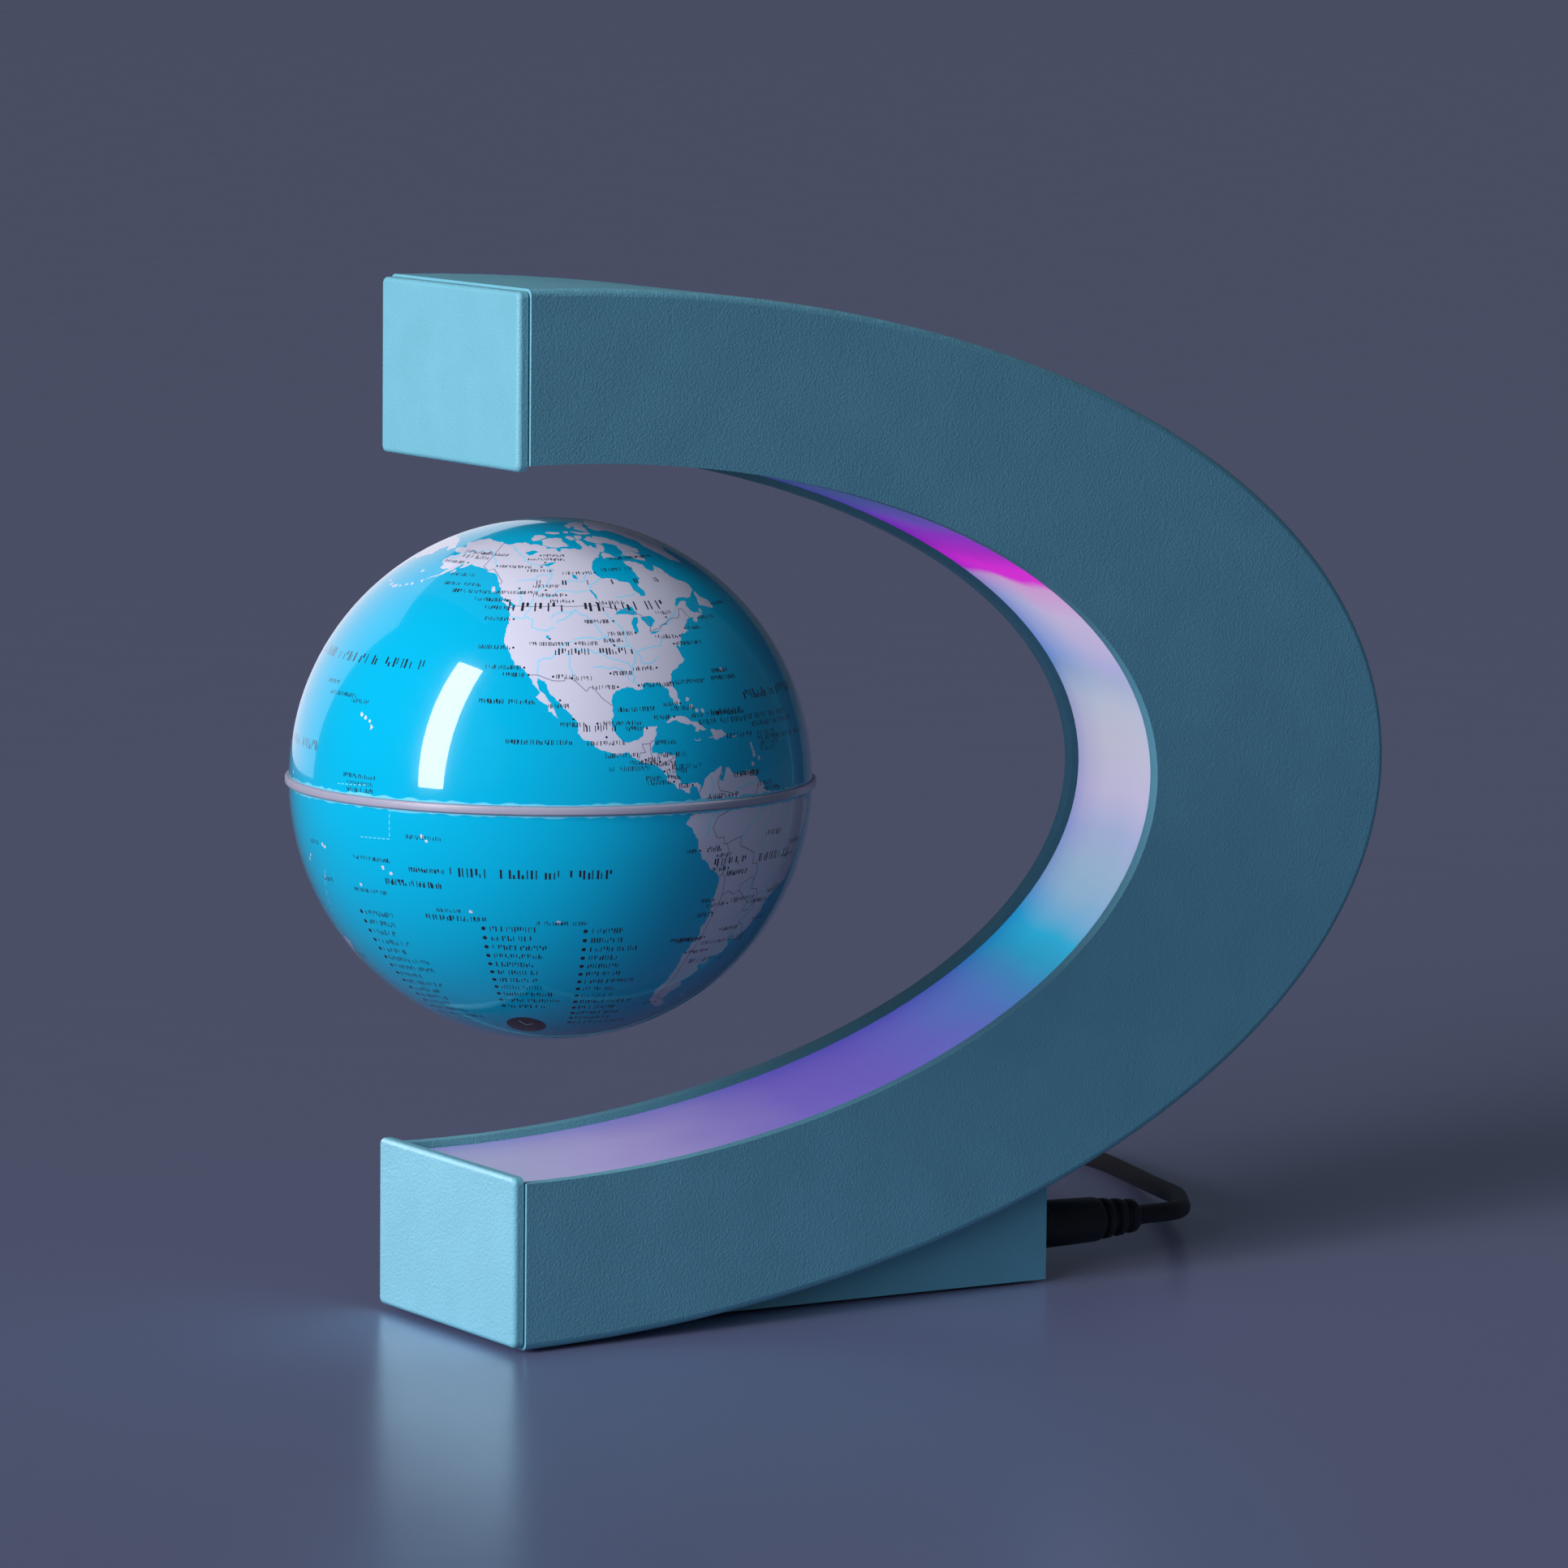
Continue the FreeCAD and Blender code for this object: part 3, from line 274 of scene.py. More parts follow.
# Two close shades, the roughness, and the size and depth of the grain.
PLASTICS = {
    "stand_plastic": ("5fa0b2", "63a6b8", 0.46, 0.4 * MM, 0.1 * MM),
    "pad_rubber": ("1b1c1e", "222326", 0.8, 0.25 * MM, 0.03 * MM),
    "black_housing": ("141518", "1a1b1f", 0.45, 0.2 * MM, 0.01 * MM),
    "bobbin_plastic": ("d9d4c4", "cfcab9", 0.5),
    "led_strip_white": ("e2e3e0", "ecedea", 0.45),
    "led_package": ("efe7b8", "f5efc9", 0.3),
    "wire_insulation": ("a52a24", "b2322a", 0.4, 0.2 * MM, 0.005 * MM),
    "plug_black": ("0d0e10", "131417", 0.42, 0.25 * MM, 0.012 * MM),
    "cord_black": ("0b0c0f", "101115", 0.52, 0.3 * MM, 0.01 * MM),
    "ring_grey": ("868a9c", "8d91a3", 0.38, 0.3 * MM, 0.008 * MM),
    "globe_print": ("20a8cc", "22aacd", 0.2, 0.3 * MM, 0.001 * MM),
}
METALS = {"magnet_iron": ("6f7276", 0.45), "screw_steel": ("a9adb2", 0.3),
          "magnet_nickel": ("c9ccce", 0.16), "connector_metal": ("c3c7cb", 0.22)}

FINISHES = {"milky_diffuser": glowing_diffuser(), "winding_copper": wound_wire(),
            "circuit_board": circuit_board(),
            **{name: moulded(name, *look) for name, look in PLASTICS.items()},
            **{name: metal(name, *look) for name, look in METALS.items()}}


# ---- camera, floor and light ----------------------------------------------------------------------------

def camera():
    """A long lens a little above the globe's middle, turned to see the arm ends and one side."""
    data = bpy.data.cameras.new("camera")
    data.sensor_width = 36
    data.lens = 181.9
    data.clip_start = 0.05
    data.clip_end = 200
    spot = (-0.68479, -1.11233, 0.24497)
    yaw, pitch, roll = 0.5432, -0.1216, 0.0092
    ahead = Vector((math.sin(yaw) * math.cos(pitch), math.cos(yaw) * math.cos(pitch), math.sin(pitch)))
    level = Vector((math.cos(yaw), -math.sin(yaw), 0))
    over = level.cross(ahead)
    right = level * math.cos(roll) + over * math.sin(roll)
    above = over * math.cos(roll) - level * math.sin(roll)
    obj = bpy.data.objects.new("camera", data)
    turn = Matrix((right, above, -ahead)).transposed().to_4x4()
    obj.matrix_world = Matrix.Translation(spot) @ turn
    bpy.context.scene.collection.objects.link(obj)
    bpy.context.scene.camera = obj


def floor():
    """A plain pale table top, larger than any view."""
    half = 40.0
    corners = [(-half, -half, 0), (half, -half, 0), (half, half, 0), (-half, half, 0)]
    obj = new_mesh("floor", corners, [(0, 1, 2, 3)], smooth=False)
    finish = Finish("floor", "b8bcd8", 0.26)
    finish.shine(finish.noise(30 * MM, 3), 0.23, 0.29)
    finish.bump(finish.noise(1.2 * MM, 2), 0.002 * MM)
    obj.data.materials.append(finish.material)
    return obj


def softbox(name, size, distance, azimuth, elevation, power, tint, aim=(-0.05, 0, 0.09)):
    """A rectangular area light that faces the object."""
    data = bpy.data.lights.new(name, "AREA")
    data.shape = "RECTANGLE"
    data.size, data.size_y = size
    data.energy = power
    data.color = colour(tint)[:3]
    away = heading(azimuth, elevation)
    obj = bpy.data.objects.new(name, data)
    turn = away.to_track_quat("Z", "Y").to_matrix().to_4x4()
    obj.matrix_world = Matrix.Translation(Vector(aim) + away * distance) @ turn
    bpy.context.scene.collection.objects.link(obj)
    return obj


def flagged(light, objects, state="EXCLUDE"):
    """Keeps a light off some objects, as a flag does in a studio, or lets it reach them alone."""
    group = bpy.data.collections.new(light.name + "_flag")
    for obj in objects:
        group.objects.link(obj)
    light.light_linking.receiver_collection = group
    for held in group.collection_objects:
        held.light_linking.link_state = state


def world(shade, strength):
    """Even light from all around."""
    made = bpy.data.worlds.new("studio")
    made.use_nodes = True
    back = made.node_tree.nodes["Background"]
    back.inputs["Color"].default_value = colour(shade)
    back.inputs["Strength"].default_value = strength
    bpy.context.scene.world = made


def far_light(name, azimuth, elevation, strength, softness, tint):
    """A large light so far off that it lights the whole floor alike, and shows in no reflection."""
    data = bpy.data.lights.new(name, "SUN")
    data.energy = strength
    data.angle = math.radians(softness)
    data.color = colour(tint)[:3]
    away = heading(azimuth, elevation)
    obj = bpy.data.objects.new(name, data)
    obj.matrix_world = away.to_track_quat("Z", "Y").to_matrix().to_4x4()
    obj.visible_glossy = False
    bpy.context.scene.collection.objects.link(obj)


def studio(table):
    """A tall strip softbox off the arm ends, a soft fill on the open side, a little from overhead, two even
    lights over the whole table from the left, an even surround, and a pale panel that only shows in the
    lower end cap's sheen. Returns a like panel for the globe."""
    bpy.context.scene.view_settings.view_transform = "Standard"
    world("bccbe6", 0.095)
    flagged(softbox("key", (0.19, 0.78), 0.85, 188, 25, 10.9, "fff0e8"), [table])
    fill = softbox("fill", (1.5, 1.2), 1.5, 258, 14, 2.9, "eaf4ff")
    fill.visible_glossy = False
    flagged(fill, [table])
    flagged(softbox("top", (1.6, 1.6), 1.6, 70, 66, 1.1, "e6ecff"), [table])
    far_light("side_front", 191, 16, 0.92, 16, "dfe0ff")
    far_light("side_wide", 206, 16, 0.92, 32, "dfe0ff")
    sheen = softbox("sheen", (0.9, 0.5), 0.7, 118, 14, 8.0, "f0f2ff", aim=(-0.1, 0, 0.02))
    sheen.visible_diffuse = False
    flagged(sheen, [frame["nodes"]["bottom_end_cap"]], "INCLUDE")
    haze = softbox("haze", (1.0, 0.95), 1.0, 90, 18, 2.6, "eef2ff")
    haze.visible_diffuse = False
    return haze


camera()
haze = studio(floor())


# ---- the printed map ------------------------------------------------------------------------------------
# A simple world map: longitude and latitude in degrees. A comma ends a point, and a
# semicolon ends an outline or a line.

COASTS = """
-168 65.6, -166.5 66.3, -163.5 66.6, -161.8 66.2, -163.5 67.1, -166.5 68.4, -163 69.4, -161.8 70.3, -156.6
  71.35, -152 70.8, -148 70.4, -143 70.1, -141 69.65, -137 69, -134.5 69.6, -129.5 70.1, -128 70.5, -124.5
  69.4, -120.5 69.6, -115.5 68.9, -113.5 68, -115 67.8, -109 68, -107.5 66.5, -107 67.9, -104 68, -98.5
  67.8, -95.9 67.3, -94.5 68.3, -96 70.2, -96.5 71.2, -94.5 71.9, -92.5 71.2, -92 69.7, -90.5 68.6, -89
  69.2, -87.8 68.2, -86.5 67.5, -85.5 68.8, -85 69.7, -82.3 69.6, -81.3 68.7, -82 67.6, -83.5 66.4, -86
  66.3, -87.5 65.3, -89 64.1, -91.5 63.5, -93.5 62, -94.7 60.5, -94.7 58.9, -92.7 57, -90 57, -86 55.8,
  -82.3 55.2, -82.2 53, -80.8 51.3, -79 51.4, -79.5 54.5, -76.8 56.5, -77.2 58.8, -78.2 62.5, -75 62.3, -72
  61.7, -70 60.9, -69.5 59, -67.5 58.4, -65.3 59.5, -64.4 60.3, -62 57.5, -60 55.5, -57.5 54.6, -55.8 53.3,
  -57 51.5, -60 50.2, -64 50.3, -66.5 50.2, -68.5 49.2, -70.3 47.5, -71.2 46.8, -69 48.1, -66.5 49.15, -64.3
  48.9, -65.3 47.8, -64.8 46.5, -63.5 45.9, -61.5 45.7, -61 45.3, -63.5 44.5, -65.5 43.5, -66.2 44.2, -64.5
  45.3, -67 44.8, -69 44, -70.7 43, -70.8 42, -70 41.7, -71.5 41.3, -74 40.6, -74.9 38.9, -75.5 38, -76.3
  39.3, -76.3 37, -75.6 35.3, -77.5 34.2, -79.3 33.1, -81 32.1, -81.4 30.5, -80.5 28.4, -80.1 26.5, -80.5
  25.2, -81.7 25.9, -82.7 27.8, -82.8 29.1, -84.2 30.1, -86.5 30.4, -88.8 30.4, -89.3 29.1, -90.9 29.1,
  -92.5 29.6, -94.5 29.5, -96.7 28.3, -97.4 26.8, -97.4 24.8, -97.8 22.4, -96.7 19.8, -95.8 18.8, -94.2
  18.2, -92 18.6, -90.6 19.6, -90.3 21.1, -87 21.5, -87.5 19.5, -88.2 18.2, -88.9 15.9, -86 15.9, -83.3 15,
  -83.6 12.5, -83.5 11, -82.2 9.2, -80 9.3, -78.5 9.5, -77.3 8.6, -77.9 7.3, -78.3 8.3, -79.6 8.9, -80.3
  8.2, -80.4 7.3, -81.7 8.1, -83.2 8.4, -84 9.5, -85.7 10.1, -85.8 11.2, -87.5 12.9, -90.5 13.9, -92.3 14.6,
  -94.2 16.1, -96.5 15.7, -99.8 16.7, -102.2 17.9, -104.5 19.1, -105.6 20.4, -105.3 21.6, -106.5 23.4,
  -108.5 25.3, -109.5 26.7, -111 28, -112.3 29.4, -113.1 31.2, -114.8 31.8, -114.6 30.2, -112.8 28.2, -111.4
  26.4, -110.5 24.5, -109.4 23.1, -110.3 23.6, -112.1 24.8, -112.3 26.1, -114.3 27.2, -115 27.8, -114 28.6,
  -115.8 30.4, -117.1 32.5, -118.4 33.8, -120.6 34.6, -121.8 36.6, -122.5 37.8, -123.8 39.4, -124.3 40.4,
  -124.2 42.5, -124 46.2, -124.7 48.4, -122.8 48.5, -123 49.1, -125 50.3, -127.7 51.3, -129 53.5, -130.5
  54.5, -131.5 56, -133.5 58, -136.5 58.5, -139.5 59.6, -144 60.1, -147.5 60.9, -149.5 59.7, -151.8 59.2,
  -151.4 60.9, -150 61.2, -153.5 59.4, -156 57.7, -159 56, -162.5 55, -164.8 54.6, -161 56, -158 57.7, -157
  58.8, -158.8 58.5, -162 58.7, -162 59.9, -165.3 60.8, -166 61.8, -164.8 63, -161 63.6, -161 64.5, -164.5
  64.5, -166.3 64.7;
-73 78.2, -68.5 76.1, -63 76.2, -58 75.4, -55 73, -53.5 70.8, -51 69.5, -53.5 67.2, -52 65, -50 62.5, -47
  60.9, -43.5 59.9, -42.5 61.5, -40.5 64.6, -36 65.9, -32 68.1, -25 69.3, -22 70.4, -24 72.3, -20 74.2,
  -19.5 76.8, -17.5 79.8, -13 81.4, -22 82.2, -32 83.6, -45 82.9, -58 82.1, -65 80.8, -67 79.3;
-61.5 82.4, -70 83.1, -82 82.9, -91 81.8, -87 80.3, -86 79.2, -89 77.8, -84 76.4, -79 76.3, -76 78.2, -75
  79.5, -65 81.4;
-96 79.8, -94 81.2, -90 80.8, -89 79.4, -93 78.4, -96 79;
-80 74.7, -80.5 75.8, -89 75.9, -96 76.6, -92 75, -89 74.6;
-80.5 73.7, -76 72.8, -71 71.2, -68 70.2, -67 68.9, -63.5 67.2, -61.5 66.5, -63.8 65, -68 66.4, -65 64.3,
  -65 63, -66.5 61.9, -71 62.9, -73.5 64.3, -78 64.5, -74 65.5, -73.5 67.2, -72.5 68.4, -76 69.4, -79 70,
  -85 70, -88.5 71, -89.8 72, -86 73.7, -83 72.5;
-117.5 69.9, -113 68.5, -106 68.7, -101.5 69, -103 70.2, -105 72.7, -109 73, -114 72.7, -118.5 71.4, -117
  70.5;
-125.5 72, -123 71.1, -119 72, -115.5 73.4, -120 74.3, -124.5 74.2;
-102.5 73, -100 71.7, -96.8 71.7, -97.5 73.5, -100.5 73.9;
-95.6 72.1, -93 72, -90.4 72.8, -90.2 73.8, -95 74.1;
-117 75.4, -110 74.8, -105.8 75, -106 76, -112 76.3, -117 76.2;
-102 75.6, -98 75.1, -97.7 76.5, -102 76.4;
-87 63.6, -83 63.9, -80.3 63.8, -81.5 64.5, -85 66, -87 64.3;
-59.3 47.7, -55.8 46.9, -53.2 46.7, -53 48.5, -55.8 49.8, -56 51.5, -57.5 50.6, -58.5 49;
-128.3 50.8, -125.2 50, -123.4 48.5, -125.3 48.9;
-133 54.1, -131.7 54.1, -131.2 52.2;
-61.4 45.8, -60.2 46, -60.5 47;
-84.9 21.9, -82.5 23, -80.5 23.1, -77.3 21.8, -75.6 21.1, -74.2 20.2, -77.6 19.9, -77.2 20.6, -78.5 21.5,
  -82 22.4;
-74.4 18.4, -72.7 18.5, -73.3 19.9, -70 19.8, -68.4 18.6, -70.5 18.2, -71.7 17.7;
-78.3 18.3, -76.3 18.1, -77.3 17.8;
-67.2 18.4, -65.7 18.3, -67.1 17.98;
-155.9 20.2, -154.9 19.6, -155.7 19;
-154.5 57.3, -152.3 57.6, -152.5 58.3, -154 57.9;
-77.9 7.3, -76.9 8.5, -75.6 10.5, -74.8 11.1, -72.2 12.1, -71.6 12.4, -71.4 11, -71.6 9.5, -70 12.1, -68.3
  10.8, -66 10.5, -62.7 10.7, -61.9 9.9, -60 8.5, -57.5 6.2, -54 5.8, -51.7 4.2, -50 1.8, -50.5 0, -48.3
  -0.8, -44.5 -2.3, -41.5 -2.9, -38.5 -3.7, -35.3 -5.2, -34.8 -7.5, -37 -11, -38.7 -13, -39.2 -17, -40 -20,
  -41 -22, -43.5 -23, -46.3 -24.1, -48.6 -26, -48.7 -28.4, -50.8 -31, -53.4 -33.8, -55 -34.9, -58.3 -34, -57
  -36.4, -57.6 -38.2, -62 -39, -62.2 -40.7, -65 -41, -63.7 -42.6, -65.3 -44.8, -67.5 -46, -65.8 -47.8, -68.5
  -50.2, -68.4 -52.4, -65.2 -54.7, -68 -55.6, -71.5 -54, -74.8 -52, -75.4 -49.5, -75 -47, -73.6 -44.5, -73.6
  -41.8, -73.4 -39, -73.6 -37.2, -71.7 -33.5, -71.5 -30, -70.5 -25.5, -70.2 -20, -70.4 -18.4, -73 -16.7,
  -76.2 -14, -77.2 -12, -79 -8.2, -81.2 -6.1, -80 -3.4, -80.9 -2.2, -80 0.5, -78.5 2.4, -77.2 4, -77.5 6.5;
-178 -78, -165 -78.5, -157 -77.2, -148 -76.5, -137 -75, -125 -74, -112 -74.2, -101 -72.5, -96 -72.6, -85
  -73.3, -76 -71.5, -70 -70, -67.5 -67.5, -62 -64.5, -57.5 -63.3, -60.5 -65.5, -63 -69, -61 -73.5, -60 -76,
  -45 -78, -35 -78, -27 -76.2, -17 -73, -8 -71, 0 -69.8, 10 -70.2, 22 -70.3, 33 -68.7, 40 -69.2, 50 -67, 57
  -67, 65 -67.8, 70 -69.5, 78 -69, 85 -66.6, 95 -66.5, 105 -66.2, 115 -66.5, 125 -66.4, 135 -66.1, 142
  -66.9, 150 -68.6, 160 -70, 170 -71.7, 169 -74, 164 -77.5, 175 -78;
-5.6 36, -6.4 36.8, -8.9 37, -9.4 38.7, -8.8 41.5, -9.2 43.1, -5 43.5, -1.8 43.4, -1.2 46, -4.7 48.4, -1.6
  48.7, -1.9 49.7, 0.2 49.6, 1.6 50.9, 4 52, 5 53.3, 8.3 53.6, 8.1 55.6, 8.2 57, 10.6 57.7, 10.3 56.4, 9.7
  55, 10.9 54.2, 14.2 53.9, 18.6 54.7, 21 55.5, 21.5 57.4, 24 57.1, 23.5 59.2, 28 59.6, 30 60, 25 60.2, 22.9
  59.8, 21.3 61, 21.5 63, 25.3 65, 24 65.8, 22 65.7, 20.7 63.8, 17.5 62, 17.2 60.7, 18.9 59.9, 16.5 58.3, 16
  56.4, 14.3 55.5, 12.9 55.5, 11.3 58.5, 10.5 59.3, 8.2 58.1, 5.6 58.9, 5 61, 8.5 63.5, 12 65.5, 14.5 68, 19
  69.8, 25.7 71.1, 31 70.2, 36 69.2, 41 67.5, 40 66.3, 34.8 66.6, 32.5 67.1, 34.8 64.4, 38 63.9, 40.5 64.8,
  40 65.6, 44 66, 43.5 68.4, 46 66.8, 48 67.6, 53.5 68.8, 59 68.9, 61 69.8, 66.8 68.9, 68.5 68.3, 67 69.6,
  67 71.2, 69.5 72.9, 72.7 72.7, 72.5 70.5, 74 72.5, 80.5 72.1, 81 73.6, 87 75, 93 76, 104 77.7, 107 76.5,
  113.5 75.5, 109 73.8, 118 73.2, 128 73.2, 129.5 71.2, 140 72.4, 150 71.5, 160 69.7, 170.5 69, 171 70, 180
  68.9, 187 67, 190.3 66.1, 187.5 64.4, 181.5 66.2, 178 64.6, 179 62.5, 174.5 61.8, 170.3 59.9, 164.5 59.8,
  163 58.2, 162 55, 160 53.1, 156.7 51, 155.7 54, 155.5 57, 161.5 60.6, 163 61.8, 160 61.9, 156.7 61.6,
  154.5 59.5, 148 59.4, 142 59.2, 137.5 55, 135.3 54.7, 141 53.2, 140.5 50.5, 140.2 48.4, 136 44.5, 132
  43.2, 130.6 42.3, 127.6 39.8, 129.4 36.8, 129.2 35.2, 126.4 34.5, 126.6 37, 125 38, 124.7 39.7, 121.5
  38.9, 122 40.5, 118 39.1, 119 37.3, 122.5 37.2, 120 35.5, 119.3 34.9, 121.8 31.8, 121.9 30, 121.5 28.3,
  119 25.5, 116.8 23.3, 114 22.3, 110.5 21.2, 109.8 21.5, 106.7 20.5, 105.7 18.9, 108.8 15.5, 109.3 12,
  106.7 10.4, 105 8.6, 104.8 10.4, 102.5 12, 101 12.8, 100.3 13.4, 99.3 10, 100.5 7.2, 103.4 4.3, 104.2 1.4,
  103.4 1.4, 101.3 2.9, 100.3 5.8, 98.3 8, 98.7 11, 98 14, 97.5 16.5, 94.4 16, 94.3 18.8, 92 21.3, 91.8
  22.5, 89 21.8, 87 21.4, 85 19.7, 82.3 16.7, 80.2 15.5, 80.2 13, 79.8 10.3, 78.2 8.9, 77.5 8.1, 76.2 10,
  74.8 13, 73.3 17, 72.8 19.5, 72.7 21.2, 70.5 20.8, 69 22.3, 70 23, 67.3 24.8, 66.5 25.3, 61.6 25.2, 57.3
  25.7, 56.5 27.1, 53 26.8, 50.7 29, 48.7 30.2, 48 29.5, 50 26.6, 51.3 25.8, 51.5 24.4, 54.5 24.3, 56.3
  26.1, 56.6 24.3, 59.8 22.5, 57.7 19, 55.2 17.3, 52.2 15.6, 45 12.8, 43.4 12.7, 42.7 16.5, 39.1 21.2, 37.2
  24.8, 34.9 28.1, 35 29.5, 34.3 27.9, 32.6 29.9, 32.3 31.2, 34.3 31.4, 35.9 34.5, 36.1 36.7, 33.7 36.2,
  30.6 36.7, 28.2 36.7, 26.3 38.3, 26.2 40, 29 41.1, 31.4 41.3, 35 42, 38.5 41, 41.6 41.6, 39.2 43.8, 37.3
  45, 39.2 47.2, 35 46.2, 36.5 45.3, 33.6 44.5, 32.5 45.5, 30.7 46.4, 28.6 43.9, 28 41.8, 29 41.2, 26.1
  40.7, 23.9 40.3, 22.7 40.5, 24 38, 22.8 36.6, 21.3 37.7, 19.4 41, 16 43.4, 13.7 45.2, 12.4 45.3, 12.5
  44.2, 14.2 42.4, 16.1 41.8, 18.4 40.1, 17 40.4, 16.6 38.5, 15.8 38, 15.6 40, 13 41.2, 10.4 43, 8.7 44.4,
  6.5 43.1, 3.2 43.3, 3.2 42, 0.2 40.5, -0.2 38.8, -2 36.8;
-5.9 35.8, -2 35.2, 3 36.9, 9.8 37.3, 11 35.5, 10.2 34.2, 15.3 32.3, 19.5 30.4, 20 32.2, 23 32.7, 25 31.6,
  29.5 30.9, 32.3 31.2, 32.6 29.9, 34 26.9, 35.5 24, 37.2 21, 38 18.5, 39.5 15.3, 43.2 12.6, 42.8 11.2, 45
  10.6, 51.2 11.9, 51 10.3, 48.5 5, 46 2.5, 41.7 -1.8, 39 -5.5, 39.5 -6.9, 40.6 -11, 40.7 -15, 35 -19.8,
  35.5 -23.8, 32.6 -26, 31 -29.7, 28 -33, 25.7 -34, 20 -34.8, 18.3 -34, 18.2 -32, 15.2 -26.6, 14.4 -22.5,
  11.8 -18, 13.7 -12, 13.2 -9, 12.2 -6, 9.3 -2, 9.5 1, 9.8 3.8, 8.5 4.6, 6 4.3, 4.4 6.3, 1.2 6, -2 4.9, -4
  5.2, -7.6 4.4, -11.4 6.9, -13.3 9, -16.7 12.4, -17.5 14.7, -16.3 18, -17 21, -16 23.8, -14.4 26.3, -12.9
  27.9, -9.8 29.8, -9.7 31.5, -6.8 34.1;
49.3 -12, 50.5 -15.5, 47 -25, 43.9 -24.8, 43.5 -22, 44.5 -19.8, 44.4 -16.2, 47.5 -15;
-5.5 50.1, 1.4 51.2, 1.7 52.7, 0.3 53, -1.5 55, -2 57.5, -3.5 58.6, -5 58.6, -5.8 56.5, -4.9 54.8, -3 54,
  -4.4 53.2, -5.2 51.8, -3 51.4;
-6.2 53.4, -6.4 52.2, -9.8 51.6, -9.9 53.4, -8.3 54.5, -7.3 55.3, -5.7 54.5;
-22.5 64, -18.8 63.4, -13.6 65, -16 66.4, -20.5 66, -24 65.6;
11 79.5, 14 77.5, 17 76.6, 21 78.5, 27 80.1, 17 80;
51.5 71.6, 55 70.7, 57 71.5, 59 73.8, 68.5 76.8, 60 76.2, 55 74.5;
130.9 34, 132.5 34.3, 135.4 34.6, 135.8 33.5, 138.8 34.8, 140.8 35.7, 141.9 39.5, 141.4 41.4, 140 40.5,
  139.5 38.5, 137 37.3, 136 35.8, 133 35.5;
140.2 41.6, 143.2 42, 145.5 43.3, 141.8 45.4, 141.3 43.3;
130 33.3, 131.8 33.5, 131.3 31.4, 130.2 31.2;
132.2 33.6, 134.5 34.2, 134 33.4, 132.8 32.8;
142 46, 143.5 49, 143.3 52.5, 142.5 54.2, 141.8 52, 142 48;
120.2 23, 121.5 25.2, 120.9 22;
108.7 19.2, 110.6 20, 109.6 18.2;
120.3 16, 120.7 18.5, 122.2 18.4, 121.6 16, 124 13, 123.8 12.7, 120.7 13.8, 120.1 15;
122 7, 123.5 8.6, 125.4 9.8, 126.4 7.5, 125.6 5.8, 124 6.5;
122 11.8, 123.1 11.5, 122.1 10.5;
125.2 12.5, 125.2 10.2, 124.4 11;
109.2 1.8, 111.3 2.6, 113.2 3.7, 116.8 7, 119.2 5.2, 117.6 3, 119 1, 117.5 -0.8, 116.3 -4, 112 -3.4, 110
  -1.6, 109 0.5;
95.3 5.6, 98.7 3.9, 103.8 0, 106 -3, 105.8 -5.8, 102.3 -4, 98.8 1.7;
105.2 -6.8, 108.5 -6.7, 112.6 -6.9, 114.5 -8, 114.4 -8.7, 108.5 -7.8;
119.5 -5.5, 120.4 -5.5, 120.5 -3, 122.5 -5, 122.8 -4.2, 121.3 -2, 123.4 -1, 121 -1, 120.1 0.4, 124 0.5, 125
  1.6, 121 1.2, 119.8 0.6, 118.8 -2.8;
116 -8.4, 119 -8.3, 122.9 -8.1, 122.5 -8.7, 118 -8.9;
123.6 -10.2, 127 -8.4, 125 -9.2;
131 -0.8, 134 -0.9, 135 -3.3, 137.9 -1.5, 141 -2.6, 145.8 -5, 147 -6.7, 150.8 -10.5, 147.2 -9.5, 143.5 -8.3,
  142.5 -9.2, 138 -8.3, 138 -6, 133 -4, 132.3 -2.5;
148.4 -5.7, 152 -4.2, 151 -6;
113.7 -22.5, 114.2 -26.2, 115.7 -31.8, 115 -34.2, 118 -35, 123.5 -33.9, 129 -31.6, 131.2 -31.5, 134.2 -33,
  135.7 -34.9, 137.9 -32.6, 137 -35.2, 138.3 -34.8, 139.7 -37, 143.5 -38.8, 146.4 -39.1, 150 -37.4, 151.3
  -33.7, 153.2 -30, 153.2 -27, 150.8 -23.4, 146.3 -18.9, 145.4 -15, 143.5 -14.2, 142.5 -10.8, 141.6 -13,
  140.9 -17.4, 139.2 -17.5, 135.5 -15, 136.8 -12.2, 132.6 -11.4, 130.2 -13, 129 -15, 126 -14, 122.3 -18, 119
  -20, 114.6 -21.8;
144.7 -40.7, 148.3 -40.9, 147 -43.6, 145.4 -42.5;
172.7 -34.5, 175.6 -36.8, 178.5 -37.7, 176.8 -39.5, 175.3 -41.6, 173.8 -39.3, 174.7 -37;
172.7 -40.5, 174.3 -41.7, 171.2 -44.4, 170.6 -45.9, 168.5 -46.6, 166.5 -45.9, 170.8 -42.8;
79.9 8, 80.2 9.8, 81.8 7.5, 80.6 6;
8.4 40.9, 9.7 41.1, 9.6 39.2, 8.5 39.1;
12.5 38, 15.5 38.2, 15.1 36.8;
23.6 35.4, 26.2 35.2, 24.8 34.95;
32.4 35, 34.4 35.6, 33.8 34.8;
-61.2 -51.9, -58.2 -51.5, -59.5 -52.3;
164.1 -20.3, 167 -22.2, 165.5 -21.5;
"""

